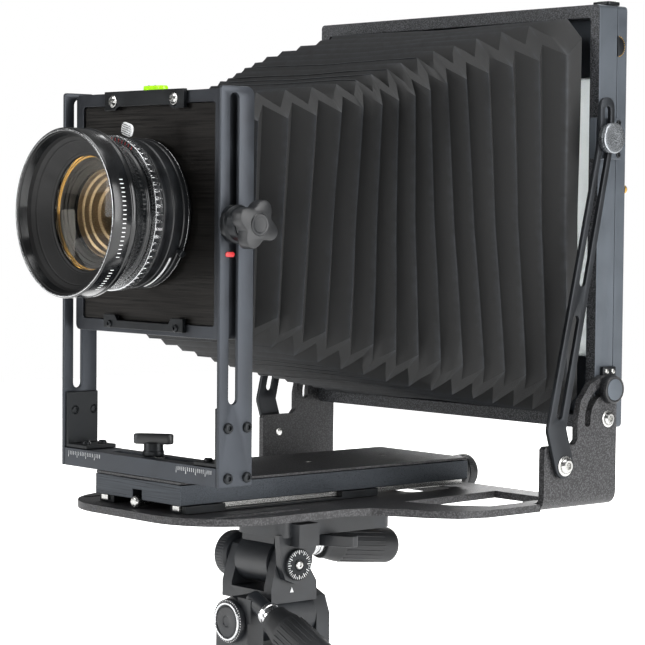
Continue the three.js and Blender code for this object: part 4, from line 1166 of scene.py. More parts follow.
# ------------------------------------------------------------------ front standard
@dataclass
class FrontStandard:
    """Uprights, lens frame, lens board and their fittings."""

    lens_z: float = 323.6
    tilt: Point = (-108.2, 317.6)
    edge: float = 79.5
    slot_half: float = 3.7
    screws: Sequence[Point] = ((-112.2, 188.5), (-96.7, 188.5), (-112.2, 156.5), (-96.7, 156.5))

    def build(self) -> None:
        """Makes every piece of the front standard."""
        self.frame()
        self.board_clips()
        self.level()
        self.uprights()
        self.cross_bar()
        self.rise_knobs()
        self.clamp()

    def frame(self) -> None:
        """Makes the lens frame and the brushed board."""
        place_piece(softened("lens_frame_milled", "lens_frame", FRAME_ANODISE, 0.7), "lens_frame",
                    ["lens_frame"])
        place_piece(softened("lens_board_brushed", "lens_board", BOARD_BRUSHED, 0.5), "lens_frame",
                    ["lens_board"])

    def board_clips(self) -> None:
        """Makes the sliding lock above the board, the rest below it, and their screws."""
        front = extent("board_lock")[0].y
        place_piece(softened("board_lock_milled", "board_lock", SATIN_BLACK, 0.4), "board_lock",
                    ["board_lock"])
        place_piece(softened("board_rest_milled", "board_rest", SATIN_BLACK, 0.4), "lens_frame",
                    ["board_rest"])
        for side, x in (("right", 33), ("left", -33)):
            top = screw(f"lock_screw_{side}", (x, front, self.lens_z + self.edge - 5.5), "-y", 3.4, 2.2,
                        STEEL,
                        Drive.SLOT, 4.0)
            place_piece(top, "lens_frame")
            low = screw(f"rest_screw_{side}", (x * 1.09, front, self.lens_z - self.edge + 5.6), "-y", 2.5,
                        1.5,
                        SATIN_BLACK)
            place_piece(low, "lens_frame")

    def level(self) -> None:
        """Makes the bubble level on top of the lens frame."""
        low, high = extent("bubble_level")
        centre, size = (low + high) / 2, high - low
        place = axis_frame("z", (centre.x, centre.y, low.z))
        body = cut_plate("level_body", [rounded_outline(size.x, size.y, 3.6)], size.z, LEVEL_VIAL, place,
                         0.9)
        lines = repeat.row("level_lines", bar_unit((0.35, 7.2, 0.25), 0.06), 2, (7, 0, 0), SATIN_BLACK,
                           place @ Matrix.Translation((-3.5, 0, size.z + 0.03)))
        bubble = spun("level_bubble", [(0, -2.4), (0.9, -2.1), (1.3, -1), (1.3, 1), (0.9, 2.1), (0, 2.4)],
                      WHITE_FILL,
                      axis_frame("x", (centre.x + 0.6, centre.y, high.z - 0.9)), 24, 0.3)
        place_piece(united("bubble_level_vial", [body, lines, bubble]), "lens_frame",
                    ["bubble_level"])

    def uprights(self) -> None:
        """Makes both slotted uprights with their screws, index mark and pin."""
        low, high = extent("upright_right")
        y0, y1, z0, z1 = low.y, high.y, low.z, high.z
        outline = [(y0, z0), (y1, z0)] + arc((y1 - 6, z1 - 6), 6, 0, 90, 10) + arc((y0 + 2, z1 - 2), 2, 90,
            180, 4)
        hole = slot_outline((self.tilt[0], 207.1), (self.tilt[0], z1 - 8), self.slot_half)
        bracket_low = extent("corner_bracket_right")[0]
        for side, sign in (("right", 1), ("left", -1)):
            body = cut_plate(f"upright_{side}_milled", [outline, hole], high.x - low.x, UPRIGHT_ANODISE,
                             axis_frame("x", (low.x, 0, 0)), 0.45)
            heads = [screw("head", (high.x, y, z), "x", 3.5, 2.1, SATIN_BLACK) for y, z in self.screws]
            index = cut_plate("index", [rounded_outline(7.4, 3.2, 1.5, (y0 + 7.6, 298.5))], 0.3, RED_FILL,
                              axis_frame("x", (high.x, 0, 0)), 0.25)
            pin = screw("pin", (high.x, y0 + 8.4, 327.5), "x", 2.3, 1.6, STEEL, Drive.SLOT)
            nuts = [screw("nut", (low.x - 2.2, y, z), "-x", 3.2, 1.6, SATIN_BLACK) for y,
                    z in self.screws[:2]]
            parts = [body, *heads, index, pin, *nuts]
            if sign < 0:
                flipped = [mirrored(f"{part.name}_left", part) for part in parts]
                drop(*parts)
                parts = flipped
            place_piece(united(f"upright_{side}_dressed", parts), "front_standard",
                        [f"upright_{side}"])
            place_piece(softened(f"corner_{side}_bent", f"corner_bracket_{side}", SATIN_BLACK, 0.5, 3),
                        "front_standard", [f"corner_bracket_{side}"])
            for k, y in enumerate((-112.4, -99)):
                head = screw(f"corner_{side}_screw_{k}", (sign * (bracket_low.x + 8), y, 166), "z", 3.0,
                             2.2,
                             SATIN_BLACK)
                place_piece(head, "front_standard")

    def cross_bar(self) -> None:
        """Makes the slotted cross bar with its shift scale."""
        place_piece(softened("cross_bar_milled", "cross_bar", UPRIGHT_ANODISE, 0.5), "front_standard",
                    ["cross_bar"])
        low, high = extent("cross_bar")
        for side, start in (("right", 42), ("left", -78)):
            marks = repeat.row(f"shift_scale_{side}", bar_unit((0.3, 0.16, 2.6), 0.05), 19, (2, 0, 0),
                               WHITE_FILL,
                               axis_frame("z", (start, low.y - 0.02, high.z - 3)))
            long_marks = repeat.row(f"shift_tens_{side}", bar_unit((0.34, 0.16, 4.2), 0.05), 4, (10, 0, 0),
                                    WHITE_FILL,
                                    axis_frame("z", (start, low.y - 0.02, high.z - 3.8)))
            place_piece(united(f"shift_scale_{side}", [marks, long_marks]), "front_standard")

    def rise_knobs(self) -> None:
        """Makes the collars and four-lobed knobs that lock rise and tilt."""
        outer = extent("upright_right")[1].x
        lobe_turn = math.radians(65)
        outline = []
        for i in range(96):
            a = 2 * math.pi * i / 96
            swell = ((1 + math.cos(4 * (a - lobe_turn))) / 2) ** 0.8
            reach = 10.8 + 5.6 * swell
            outline.append((reach * math.cos(a), reach * math.sin(a)))
        for side, sign in (("right", 1), ("left", -1)):
            axis = "x" if sign > 0 else "-x"
            at = axis_frame(axis, (sign * outer, *self.tilt))
            collar = spun(f"collar_{side}", [
                (0, -9), (2.2, -9), (2.2, 0.3), (12.3, 0.3), (12.3, 4.4), (11.7, 5), (10.8, 5.6),
                (10.8, 12.2),
                (10.2, 13), (0, 13)], SATIN_BLACK, at, 72, 0.3)
            washer = spun("washer", [(0, -6.2), (8, -6.2), (8, -3.3), (0, -3.3)], SATIN_BLACK, at, 40, 0.2)
            rod = spun("rod", [(0, 12.5), (2.5, 12.5), (2.5, 21), (0, 21)], STEEL, at, 28, 0.2)
            place_piece(united(f"rise_collar_{side}_turned", [collar, washer, rod]), "rise_block",
                        [f"rise_collar_{side}"])
            knob_at = at @ Matrix.Translation((0, 0, 15.3))
            lobes = cut_plate("lobes", [outline], 10, KNOB_NYLON, knob_at, 1.6)
            hub = spun("hub", [(0, -2), (9.6, -2), (10.4, -1.2), (10.4, 9), (0, 9)], KNOB_NYLON, at @
                       Matrix.Translation((0, 0, 15.3)), 48, 0.3)
            cap = spun("cap", [(0, 9.2), (6.4, 9.2), (7.2, 10.2), (6.6, 10.9), (5.4, 10.7), (4.8, 10.3),
                               (0, 10.2)],
                       KNOB_NYLON, knob_at, 48, 0.2)
            place_piece(united(f"front_knob_{side}_moulded", [lobes, hub, cap]), f"front_knob_{side}",
                        [f"front_knob_{side}"])

    def clamp(self) -> None:
        """Makes the winged knob that locks shift and swing, and its shoe."""
        top = extent("cross_bar")[1].z
        at = axis_frame("z", (0, middle("clamp_knob").y, top)) @ Matrix.Rotation(math.radians(40), 4, "Z")
        base = knurled("clamp_base", [(2.9, 0.3), (6.6, 0.3), (7, 0.8), (7, 3.6), (6.5, 4.2), (6.5, 9),
                                      (2.9, 9)],
                       (6.6, 1.0, 3.4), 36, SATIN_BLACK, at, 0.3)
        wing = cut_plate("wing", [slot_outline((-9.5, 0), (9.5, 0), 4)], 6.8, KNOB_NYLON,
                         at @ Matrix.Translation((0, 0, 8.2)), 1.2)
        place_piece(united("clamp_knob_winged", [base, wing]), "clamp_knob", ["clamp_knob"])
        place_piece(softened("slot_shoe_milled", "slot_shoe", STEEL, 0.3), "slot_shoe",
                    ["slot_shoe"])


# ------------------------------------------------------------------ bellows
@dataclass
class Bellows:
    """Square tapered bellows, folded from one tube of cloth and split where each movement is taken up.

    The side folds lie half a pleat from the top folds, so each corner runs in a zigzag.
    """

    pleats: int = 15
    depth: float = 5.5
    front_half: float = 70.5
    rear_half: Point = (130.5, 131.25)
    centres: Point = (323.6, 323.25)
    uneven: float = 0.031
    lean: Point = (8.8, 3.3)
    sag: float = 6.5
    side_points: int = 18
    corner_gather: float = 0.09
    corner_span: Point = (0.985, 0.0075)
    bow: Point = (0.5, 1.1)
    crumple: float = 1.6
    crumple_scale: Point = (0.06, 1.7)
    wander: float = 1.2
    wander_scale: Point = (0.011, 0.45)
    # Sharpness of the ridge weight, which paints wear and a painted sheen on the ridges.
    ridge_wear_and_sheen_power: int = 6
    thickness: float = 0.7
    blend_inset: float = 0.12
    spans: Sequence[tuple[str, str, int]] = (
        ("lens_frame", "rise_block", 2), ("rise_block", "front_standard", 3),
        ("front_standard", "slot_shoe", 1),
        ("slot_shoe", "focus_carriage", 1), ("focus_carriage", "camera_bed", 2),
        ("camera_bed", "rear_standard", 6))
    steps: Sequence[float] = (0.0, 0.1, 0.5, 0.9)
    ends: Point = field(default_factory=lambda: (extent("lens_frame")[1].y + 0.4,
                                                 extent("rear_frame")[0].y - 0.4))

    def along(self, t: float) -> float:
        """Distance back for a share of the pleats. Args: t from 0 to 1. Returns: Y in millimetres."""
        start, end = self.ends
        return start + (end - start) * (t + self.uneven * math.sin(2 * math.pi * t))

    def ring(self, fold: float) -> list[tuple[Vector, float]]:
        """One loop of cloth.

        Args:
            fold: how many half pleats it lies behind the front edge; odd ones are side ridges.

        Returns:
            Each point of the loop, and its ridge weight from 0 to 1, which paints the cloth lighter as wear
            and as a painted sheen.
        """
        t = fold / (2 * self.pleats)
        part = fold - 2 * math.floor(fold / 2)
        side_fold = part if part <= 1 else 2 - part
        swell = self.depth * (2 * side_fold - 1)
        last = fold > 2 * self.pleats - 1
        base = [self.front_half + (r - self.front_half) * t for r in self.rear_half]
        width, height = base[0] + (self.depth if last else swell), base[1] - swell
        slack = math.sin(math.pi * min(1, max(0, t)))
        centre = self.centres[0] + (self.centres[1] - self.centres[0]) * t - self.sag * slack
        y = self.along(t)
        corners = [(width, height), (-width, height), (-width, -height), (width, -height)]
        points = []
        for k, (cx, cz) in enumerate(corners):
            here, there = Vector((cx, cz)), Vector(corners[(k + 1) % 4])
            inward = -(here + there).normalized()
            # Ridge weight for the cloth's colour: wear together with a painted sheen along the folds.
            ridge_wear_and_sheen = (side_fold if k % 2 else 1 - side_fold) ** self.ridge_wear_and_sheen_power
            for i in range(self.side_points):
                s = (i + 0.5) / self.side_points
                gathered = s + self.corner_gather * math.sin(2 * math.pi * s)
                bow = (self.bow[0] + self.bow[1] * t) * math.sin(math.pi * s) ** 2
                share = gathered * self.corner_span[0] + self.corner_span[1]
                x, z = here.lerp(there, share) + inward * bow
                near = 1 - abs(2 * s - 1)
                across, along = self.crumple_scale
                rough = noise.noise(Vector((x * across, z * across, fold * along)))
                crumple = rough * self.crumple * slack * (1 - near) ** 3
                across, along = self.wander_scale
                wander = noise.noise(Vector((x * across, z * across, fold * along))) * self.wander * slack
                lean = self.lean[0] * math.sin(2 * math.pi * t) - self.lean[1] * slack
                back = lean * z / height + wander + crumple
                place = Vector((x + inward.x * crumple, y + back, centre + z + inward.y * crumple))
                points.append((place, ridge_wear_and_sheen))
        return points

    def build(self) -> None:
        """Makes each span of the bellows."""
        first = 0
        for number, (before, after, count) in enumerate(self.spans):
            folds = [first + k + s for k in range(2 * count) for s in self.steps] + [first + 2 * count]
            self.span(f"bellows_span_{number + 1}", folds, number == 0)
            first += 2 * count

    def span(self, name: str, folds: Sequence[float], stands: bool) -> None:
        """Makes one span.

        Args:
            name: the piece's name.
            folds: where its loops lie.
            stands: whether it stands for the CAD bellows.
        """
        bm = bmesh.new()
        uv = bm.loops.layers.uv.new("cloth")
        ridge = bm.verts.layers.float.new("ridge")
        rings = []
        for fold in folds:
            made = []
            for point, ridge_wear_and_sheen in self.ring(fold):
                vert = bm.verts.new(point * MM)
                vert[ridge] = ridge_wear_and_sheen
                made.append(vert)
            rings.append(made)
        count = len(rings[0])
        length = 0.0
        for lower, upper in zip(rings, rings[1:]):
            step = (upper[count // 8].co - lower[count // 8].co).length
            round_it = 0.0
            for i in range(count):
                j = (i + 1) % count
                wide = (lower[j].co - lower[i].co).length
                face = bm.faces.new((lower[i], upper[i], upper[j], lower[j]))
                corners = ((round_it, length), (round_it, length + step), (round_it + wide, length + step),
                           (round_it + wide, length))
                for loop, corner in zip(face.loops, corners):
                    loop[uv].uv = corner
                round_it += wide
            length += step
        area = sum(face.calc_area() for face in bm.faces)
        made = from_bmesh(name, bm, CLOTH)
        wall = made.modifiers.new("wall", "SOLIDIFY")
        wall.thickness = self.thickness * MM
        wall.offset = -1
        baked(made)
        start, end = self.along(folds[0] / (2 * self.pleats)), self.along(folds[-1] / (2 * self.pleats))
        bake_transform(made)
        if stands:
            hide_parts("bellows")


# ------------------------------------------------------------------ rear standard
@dataclass
class RearStandard:
    """Rear frames, struts, locks, and the sprung ground-glass back."""

    pivot: Point = (173.0, 184.5)
    foot: Point = (126.4, 155.0)
    knee: Point = (118.4, 180.0)
    stud: Point = (164.4, 377.5)
    lock_z: float = 205.0
    strut_half: Point = (8.8, 7.0)
    tip_rise: float = 21.0
    slot_half: float = 2.9

    def build(self) -> None:
        """Makes every piece of the rear standard."""
        coated = softened("rear_frame_coated", "rear_frame", REAR_COAT, 0.9, 3)
        # Side faces take the lighter anodise: a different finish, made lighter as painted light falling from
        # the right.
        coated.data.materials.append(SIDE_ANODISE_PAINTED_LIT.material())
        edge = extent("back_frame")[1].x - 1.5
        for face in coated.data.polygons:
            if abs(face.center.x) > edge * MM:
                face.material_index = 1
        place_piece(coated, "rear_standard", ["rear_frame"])
        place_piece(softened("back_frame_coated", "back_frame", BACK_COAT, 0.9, 3), "rear_standard",
                    ["back_frame"])
        for side, sign in (("right", 1), ("left", -1)):
            self.strut(side, sign)
            self.locks(side, sign)
            self.side_fittings(side, sign)
        self.back()

    def strut_outline(self) -> list[Point]:
        """Outline of the strut, bent at the knee and again at the stud. Returns: its points, Y and Z."""
        foot, knee, stud = Vector(self.foot), Vector(self.knee), Vector(self.stud)
        tip = stud + Vector((0, self.tip_rise))
        legs = [(knee - foot).normalized(), (stud - knee).normalized(), Vector((0, 1))]
        angles = [math.degrees(math.atan2(leg.y, leg.x)) for leg in legs]
        wide, narrow = self.strut_half

        def mitre(at: Vector, first: Vector, second: Vector, reach: float, side: int) -> Point:
            """Inner corner where two legs meet."""
            normals = [Vector((leg.y, -leg.x)) * side for leg in (first, second)]
            middle_way = (normals[0] + normals[1]).normalized()
            return tuple(at + middle_way * (reach / middle_way.dot(normals[0])))

        outline = arc(self.foot, wide, angles[0] + 90, angles[0] + 270, 14)
        outline.append(mitre(knee, legs[0], legs[1], wide, 1))
        outline += arc(self.stud, narrow, angles[1] - 90, 0, 5)[:-1]
        outline += arc(tuple(tip), narrow, 0, 180, 16)
        outline.append(mitre(stud, legs[1], legs[2], narrow, -1))
        outline += arc(self.knee, wide, angles[1] + 90, angles[0] + 90, 6)[:-1]
        return outline

    def strut(self, side: str, sign: int) -> None:
        """Makes one slotted strut with its foot screw. Args: side's name and sign."""
        low, high = extent("strut_right")
        knee, stud = Vector(self.knee), Vector(self.stud)
        direction = (stud - knee).normalized()
        length = (stud - knee).length

        def on_line(distance: float) -> Point:
            """Point up the strut's long leg."""
            return tuple(knee + direction * distance)

        x0 = high.x - 3
        outline = self.strut_outline()
        half = self.slot_half
        top = (stud.x, stud.y + 19)
        low_end = on_line(length - 101)
        slope = math.degrees(math.atan2(direction.y, direction.x))
        left = stud + Vector((-direction.y, direction.x)) * half
        upper = arc(top, half, 0, 180, 12) + [tuple(left)] + arc(low_end, half, slope + 90, slope + 270, 12)
        upper += arc(tuple(stud), half, slope - 90, 0, 4)[:-1]
        holes = [upper, slot_outline(on_line(10), on_line(length - 127), half)]
        plate = cut_plate("plate", [outline, *holes], 3, STRUT_ANODISE, axis_frame("x", (x0, 0, 0)), 0.45)
        pin = spun("pin", [(0, low.x - x0), (3, low.x - x0), (3, 1), (0, 1)], STEEL,
                   axis_frame("x", (x0, *self.foot)), 28)
        head = screw("head", (high.x, *self.foot), "x", 5.4, 3.6, STEEL, Drive.HEX, 7.0)
        parts = [plate, pin, head]
        if sign < 0:
            flipped = [mirrored(f"{part.name}_left", part) for part in parts]
            drop(*parts)
            parts = flipped
        place_piece(united(f"strut_{side}_slotted", parts), f"strut_{side}", [f"strut_{side}"])

    def locks(self, side: str, sign: int) -> None:
        """Makes the spun strut knob, the black tilt knob and the pivot screw. Args: side's name and sign."""
        axis = "x" if sign > 0 else "-x"
        outer = extent("strut_knob_right")[0].x
        at = axis_frame(axis, (sign * outer, *self.stud))
        knob = knurled("spun_knob", [(0, 0), (9.5, 0), (10, 0.5), (10, 4.6), (10.4, 5), (10.4, 6),
                                     (9.9, 6.5), (5.2, 6.35),
                                     (0, 6.2)], (9.9, 0.8, 4.4), 60, SPUN, at, 0.4)
        place_piece(knob, f"strut_knob_{side}", [f"strut_knob_{side}"])
        outer = extent("tilt_knob_right")[0].x
        at = axis_frame(axis, (sign * outer, self.pivot[0], self.lock_z))
        knob = knurled("tilt_knob", [(0, 0), (9.2, 0), (9.6, 0.5), (9.6, 5.6), (9.1, 6.3), (8.2, 6.4),
                                     (7.9, 5.9), (0, 5.9)],
                       (9.5, 0.9, 5.2), 44, KNOB_NYLON, at, 0.5)
        # The face disc uses the side anodise, whose lighter colour is painted light.
        disc = spun("disc", [(0, 5.7), (7.5, 5.7), (7.5, 6.1), (7.2, 6.35), (0, 6.3)], SIDE_ANODISE_PAINTED_LIT, at, 56,
                    0.1)
        place_piece(united(f"tilt_knob_{side}_capped", [knob, disc]), f"tilt_knob_{side}",
                    [f"tilt_knob_{side}"])
        bracket = extent("bed_plate")[1].x
        pivot = screw(f"pivot_screw_{side}", (sign * bracket, *self.pivot), axis, 4.6, 3.0, STEEL,
                      Drive.HEX, 6.0)
        place_piece(pivot, "rear_standard")

    def side_fittings(self, side: str, sign: int) -> None:
        """Makes the small screws, hinge block and catch on the frame's side. Args: side's name and sign."""
        axis = "x" if sign > 0 else "-x"
        face, seam = extent("back_frame")[1].x, extent("back_frame")[0].y - 0.15
        plate = face + 5
        parts = []
        for z in (self.stud[1] - 11, self.stud[1] + 11):
            parts.append(screw("stud_screw", (sign * plate, seam - 3.4, z), axis, 2.1, 0.9, SATIN_BLACK))
        block = cut_plate("hinge_block", [rounded_outline(13, 8.5, 1.2, (sign * 177, 216))], 3.0,
                          SATIN_BLACK,
                          axis_frame(axis, (sign * face, 0, 0)), 0.4)
        parts.append(block)
        for y in (173.8, 180.2):
            parts.append(screw("block_screw", (sign * (face + 3.0), y, 217), axis, 1.9, 1.0, STEEL))
        rim = arc((sign * seam, 441.5), 7.0, -90, 90, 16) if sign > 0 else arc((-seam, 441.5), 7.0, 90, 270,
            16)
        wheel = cut_plate("wheel", [rim], 0.9, SATIN_BLACK, axis_frame(axis, (sign * (face - 0.3), 0, 0)),
                          0.2)
        teeth = repeat.ring("wheel_teeth", bar_unit((0.9, 0.8, 1.0), 0.15), 13, 6.9, BRASS,
                            axis_frame(axis, (sign * (face + 0.2), seam, 441.5)), -78 if sign > 0 else 102,
                            168)
        parts += [wheel, teeth]
        back = extent("back_frame")[1].y
        parts.append(spun("back_stud", [(0, 0), (3.2, 0), (3.2, 1.4), (2.0, 2.0), (2.0, 3.4), (3, 4),
                                        (3, 5.4), (0, 5.8)],
                          BRASS, axis_frame("y", (sign * 139.5, back, 343)), 32, 0.3))
        place_piece(united(f"side_fittings_{side}", parts), "rear_standard")

    def back(self) -> None:
        """Makes the ground glass, its frame, the bow springs, the latch and the back's screws."""
        place_piece(softened("glass_frame_milled", "glass_frame", SATIN_BLACK, 0.6), "glass_frame",
                    ["glass_frame"])
        low, high = extent("ground_glass")
        size, centre = high - low, (low + high) / 2
        glass = cut_plate("ground_glass_sheet", [rounded_outline(size.x, size.z, 1.0)], size.y,
                          SCREEN_GLASS,
                          axis_frame("-y", (centre.x, high.y, centre.z)), 0.4)
        place_piece(glass, "glass_frame", ["ground_glass"])
        place_piece(softened("back_latch_milled", "back_latch", SATIN_BLACK, 0.5), "back_latch",
                    ["back_latch"])
        grips = repeat.row("latch_grip", bar_unit((11, 0.6, 0.5), 0.15), 5, (0, 1.6, 0), SATIN_BLACK,
                           axis_frame("z", (middle("back_latch").x, middle("back_latch").y - 3.2,
                                            extent("back_latch")[1].z + 0.2)))
        place_piece(grips, "back_latch")
        rear = extent("back_frame")[1].y
        frame_top = extent("glass_frame")[1]
        for side, sign in (("right", 1), ("left", -1)):
            self.spring(side, sign, rear, frame_top)
        heads = []
        for x in (-136, 136):
            for z in (198, 448):
                heads.append(screw("back_screw", (x, rear, z), "y", 3.0, 1.8, SATIN_BLACK))
        place_piece(united("back_screws", heads), "rear_standard")

    def spring(self, side: str, sign: int, rear: float, frame_top: Vector) -> None:
        """Makes one bow spring that presses the glass frame home.

        Args:
            side: its side's name.
            sign: its side's sign.
            rear: Y of the back frame's rear face.
            frame_top: the glass frame's highest corner.
        """
        x, half, width, thick = sign * (frame_top.x - 3.5), 88.0, 9.0, 0.8
        z = middle("glass_frame").z
        clear = frame_top.y - rear + 0.5
        bm = bmesh.new()
        rings = []
        for i in range(41):
            s = i / 20 - 1
            rise = clear + 2.2 * (1 - s * s)
            at = Vector((x, rear + rise, z + s * half))
            corners = [(-width / 2, 0), (width / 2, 0), (width / 2, thick), (-width / 2, thick)]
            rings.append([bm.verts.new((at + Vector((dx, dy, 0))) * MM) for dx, dy in corners])
        for lower, upper in zip(rings, rings[1:]):
            for k in range(4):
                bm.faces.new((lower[k], lower[(k + 1) % 4], upper[(k + 1) % 4], upper[k]))
        bm.faces.new(rings[0])
        bm.faces.new(list(reversed(rings[-1])))
        strip = from_bmesh("strip", bm, STEEL)
        heads = [screw("spring_screw", (x, rear + clear + 2.9, z + dz), "y", 2.4, 1.4, STEEL, Drive.SLOT)
                 for dz in (-6, 6)]
        place_piece(united(f"back_spring_{side}", [strip, *heads]), "glass_frame")


# ------------------------------------------------------------------ bed and focus drive
@dataclass
class Bed:
    """Bed plate, guides, focus carriage, lead screw and focus knob."""

    screw_r: float = 2.6
    knob_r: float = 12.8
    carriage_screws: Sequence[float] = (-40, 30, 100)

    def build(self) -> None:
        """Makes every piece of the bed."""
        place_piece(softened("bed_plate_coated", "bed_plate", BED_COAT, 0.9, 3), "camera_bed",
                    ["bed_plate"])
        for side in ("right", "left"):
            place_piece(softened(f"guide_channel_{side}_milled", f"guide_channel_{side}", SATIN_BLACK, 0.3),
                        "camera_bed", [f"guide_channel_{side}"])
            place_piece(softened(f"guide_rail_{side}_ground", f"guide_rail_{side}", STEEL, 0.3),
                        "focus_carriage",
                        [f"guide_rail_{side}"])
        place_piece(softened("platform_brushed", "platform_body", CARRIAGE_BRUSHED, 0.6), "focus_carriage",
                    ["platform_body"])
        place_piece(softened("platform_top_coated", "platform_top", BED_COAT, 0.4), "focus_carriage",
                    ["platform_top"])
        place_piece(softened("lead_nut_milled", "lead_nut", BRASS, 0.3), "focus_carriage",
                    ["lead_nut"])
        self.carriage_fittings()
        self.drive()

    def carriage_fittings(self) -> None:
        """Makes the carriage's sunk screws and the guides' screws."""
        top = extent("platform_body")[1].z
        heads = [screw("carriage_screw", (0, y, top + 0.2), "z", 2.7, 1.5,
                       STEEL) for y in self.carriage_screws]
        place_piece(united("carriage_screws", heads), "focus_carriage")
        guide_low, guide_high = extent("guide_channel_right")
        rear = extent("platform_body")[1].y
        ends = []
        for x in (-38, 38):
            for z in (138.5, 145.5):
                ends.append(screw("end_screw", (x, rear, z), "y", 1.9, 1.0, STEEL))
        place_piece(united("carriage_end_screws", ends), "focus_carriage")
        log.info("guides run from %.0f to %.0f mm", guide_low.y, guide_high.y)

    def drive(self) -> None:
        """Makes the lead screw with its thread, the knob, and the bearing block."""
        low, high = extent("lead_screw")
        centre_z = middle("focus_knob").z
        place = axis_frame("y", (0, 0, centre_z))
        r, cap = self.screw_r, (high - low).x / 2
        front = low.y
        rod = spun("rod", [(0, front), (cap - 1, front), (cap, front + 1), (cap, front + 5), (r, front + 5),
                           (r, high.y), (0, high.y)], STEEL, place, 40, 0.25)
        crest = spun("crest", [(r - 0.15, -0.5), (r + 0.1, -0.15), (r + 0.1, 0.15), (r - 0.15, 0.5)], STEEL,
                     STAY, 20, 0)
        thread = repeat.row("thread", crest, 120, (0, 0, 2), STEEL,
                            place @ Matrix.Translation((0, 0, front + 8)))
        place_piece(united("lead_screw_threaded", [rod, thread]), "focus_screw", ["lead_screw"])
        start = extent("focus_knob")[0].y
        k = self.knob_r
        knob = knurled("knob", [
            (3.1, 0), (7, 0), (7, 2.7), (k - 1.6, 3), (k - 0.4, 3.6), (k - 0.4, 6.6), (k - 1.3, 7),
            (k - 1.3, 7.8),
            (k - 0.4, 8.2), (k - 0.4, 15), (k - 1.6, 16.4), (8.6, 16.5), (8.2, 15.7), (0, 15.7), (0, 12.5),
            (3.1, 12.3)],
                       (k - 0.4, 8.6, 14.8), 54, KNOB_NYLON, axis_frame("y", (0, start, centre_z)), 0.5)
        place_piece(knob, "focus_screw", ["focus_knob"])
        block = softened("screw_bearing_milled", "screw_bearing", SATIN_BLACK, 0.7, 3)
        place_piece(block, "camera_bed", ["screw_bearing"])
        top = extent("screw_bearing")[1]
        heads = [screw("bearing_screw", (x, y, top.z), "z", 1.9, 1.2, STEEL) for x in (-5.5, 5.5)
                 for y in (top.y - 5, top.y - 17)]
        place_piece(united("bearing_screws", heads), "camera_bed")


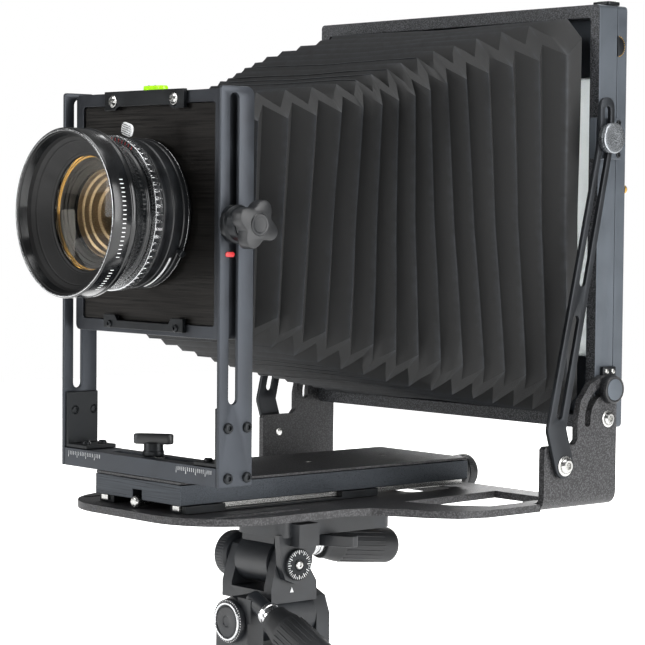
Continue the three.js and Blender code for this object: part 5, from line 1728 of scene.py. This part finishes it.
# ------------------------------------------------------------------ tripod head
@dataclass
class TripodHead:
    """Three-way head: base, pan body, side-tilt body, front-tilt body, grips and clamp."""

    side_root: Sequence[float] = (29.0, -31.0, 55.0)
    side_axis: Sequence[float] = (0.90631, 0.0, -0.42262)
    side_length: float = 68.0
    front_root: Sequence[float] = (-2.0, 33.2, 93.0)
    front_axis: Sequence[float] = (0.0, 0.99452, -0.10453)
    front_length: float = 78.0
    side_z: float = 46.0
    front_z: float = 84.0

    def build(self) -> None:
        """Makes every piece of the head."""
        moulded = (
            ("pan_body", "pan", 1.4), ("side_tilt_body", "side_tilt", 2.4),
            ("front_tilt_body", "camera_bed", 1.8),
            ("quick_release_plate", "camera_bed", 1.2), ("release_lever", "release_lever", 1.0))
        for node, body, width in moulded:
            place_piece(softened(f"{node}_moulded", node, HEAD_NYLON, width, 4), body, [node])
        dress("camera_screw", STEEL)
        self.base()
        self.knobs()
        self.grip("side_grip", self.side_root, self.side_axis, self.side_length, (10.5, 13.5),
                  "side_handle",
                  "side_tilt_handle")
        self.grip("front_grip", self.front_root, self.front_axis, self.front_length, (10.5, 12.8),
                  "front_handle",
                  "front_tilt_handle")
        self.dials()

    def base(self) -> None:
        """Makes the round base with its pan scale."""
        place = axis_frame("z", (0, 0, 0))
        base = spun("base", [(0, 0), (31, 0), (32, 1), (32, 9.6), (31, 10.8), (30, 12), (9.6, 12),
                             (9.6, 22), (0, 22)],
                    HEAD_NYLON, place, 96, 0.5)
        marks = repeat.ring("pan_scale", bar_unit((0.2, 0.5, 3.4), 0.05), 72, 32.0, WHITE_FILL,
                            place @ Matrix.Translation((0, 0, 7)))
        place_piece(united("head_base_moulded", [base, marks]), "head_base", ["head_base"])

    def knobs(self) -> None:
        """Makes the pan lock and the round knob at the far end of the front-tilt barrel."""
        pan = knurled("pan_knob", [(0, 23), (4, 23), (4, 34), (8.4, 34), (8.9, 34.6), (8.9, 45.4),
                                   (7.4, 46.8), (0, 47)],
                      (8.8, 35.5, 44.5), 30, GRIP_RUBBER, axis_frame("-x", (0, 0, 19.5)), 0.6)
        place_piece(pan, "pan_lock", ["pan_lock_knob"])
        place = axis_frame("-x", (0, 0, self.front_z))
        counter = knurled("counter", [(0, 36), (14, 36), (16.2, 38), (16.2, 46.8), (14.8, 48.4), (9, 48.5),
                                      (8, 47.6),
                                      (0, 47.6)], (16.1, 38.6, 46.2), 48, HEAD_NYLON, place, 0.6)
        place_piece(counter, "counter_knob", ["counter_knob"])

    def grip(self, name: str, root: Sequence[float], axis: Sequence[float], length: float, radii: Point,
             body: str, node: str) -> None:
        """Makes a pan-handle grip with its ferrule and grooves.

        Args:
            name: the piece's name.
            root: its inner end.
            axis: the way that it points.
            length: its length.
            radii: its radius near the root and at the end.
            body: the body it rides on.
            node: the CAD node it stands for.
        """
        start, end = radii
        place = aimed(axis, root)
        nose = arc((end - 6, length - 6), 6, 0, 90, 8)
        shaft = spun("shaft", [(0, 9), (start - 0.4, 9), (start, 9.6), (start, 13), (end - 0.3, 24), *nose,
                               (0, length)],
                     GRIP_RUBBER, place, 64, 0.3)
        ferrule = spun("ferrule", [(0, 0), (start * 0.74, 0), (start * 0.76, 0.8), (start * 0.76, 2.4),
                                   (start * 0.7, 2.8), (start * 0.7, 4.6), (start * 0.76, 5),
                                   (start * 0.76, 9.2), (0, 9.2)],
                       CHROME, place, 56, 0.25)
        ribs = repeat.ring("ribs", bar_unit((1.0, 1.3, length - 42), 0.3), 22, end - 0.35, GRIP_RUBBER,
                           place @ Matrix.Translation((0, 0, 26 + (length - 42) / 2)))
        place_piece(united(f"{name}_moulded", [shaft, ferrule, ribs]), body, [node])

    def dials(self) -> None:
        """Makes the tilt dial with its degree marks, the index, the side cap's ring and the screws."""
        face = 25.3
        at = axis_frame("x", (face, 0, self.front_z))
        disc = spun("dial", [(0, -0.6), (10.6, -0.6), (11, -0.2), (11, 0.5), (10.6, 0.9), (4.4, 0.9),
                             (4, 0.4), (0, 0.4)],
                    SATIN_BLACK, at, 64, 0.15)
        marks = repeat.ring("dial_marks", bar_unit((1.8, 0.34, 0.16), 0.04), 36, 9.2, WHITE_FILL,
                            at @ Matrix.Translation((0, 0, 0.95)))
        tens = repeat.ring("dial_tens", bar_unit((2.8, 0.5, 0.16), 0.04), 12, 8.6, WHITE_FILL,
                           at @ Matrix.Translation((0, 0, 0.98)))
        cap = screw("dial_screw", (face + 0.4, 0, self.front_z), "x", 3.2, 1.6, STEEL)
        place_piece(united("tilt_dial", [disc, marks, tens, cap]), "camera_bed")
        index = cut_plate("tilt_index", [[(-1.6, 0), (1.6, 0), (0, 3.6)]], 0.5, WHITE_FILL,
                          axis_frame("x", (18.0, 0, self.front_z - 20)), 0.1)
        place_piece(index, "side_tilt")
        front = extent("side_tilt_body")[0].y
        cap_at = axis_frame("-y", (0, front, self.side_z))
        ring = spun("cap_ring", [(11.4, -0.4), (13.2, -0.4), (13.2, 0.9), (12.8, 1.3), (11.8, 1.3),
                                 (11.4, 0.9)], CHROME,
                    cap_at, 64, 0.15)
        disc = spun("cap_disc", [(0, -0.4), (10.6, -0.4), (10.6, 0.6), (9.6, 1.0), (4, 0.9), (3.6, 0.3),
                                 (0, 0.3)],
                    HEAD_NYLON, cap_at, 56, 0.2)
        marks = repeat.ring("cap_marks", bar_unit((0.9, 0.36, 0.16), 0.04), 48, 14.1, WHITE_FILL,
                            cap_at @ Matrix.Translation((0, 0, 0.03)))
        place_piece(united("side_cap", [ring, disc, marks]), "side_tilt")


def main() -> None:
    """Builds the studio and every sub-assembly in turn."""
    logging.basicConfig(level=logging.INFO, format="%(name)s: %(message)s")
    Studio().build()
    for assembly in (Lens(), FrontStandard(), Bellows(), RearStandard(), Bed(), TripodHead()):
        log.info("building %s", type(assembly).__name__)
        assembly.build()


if __name__ == "__main__":
    main()
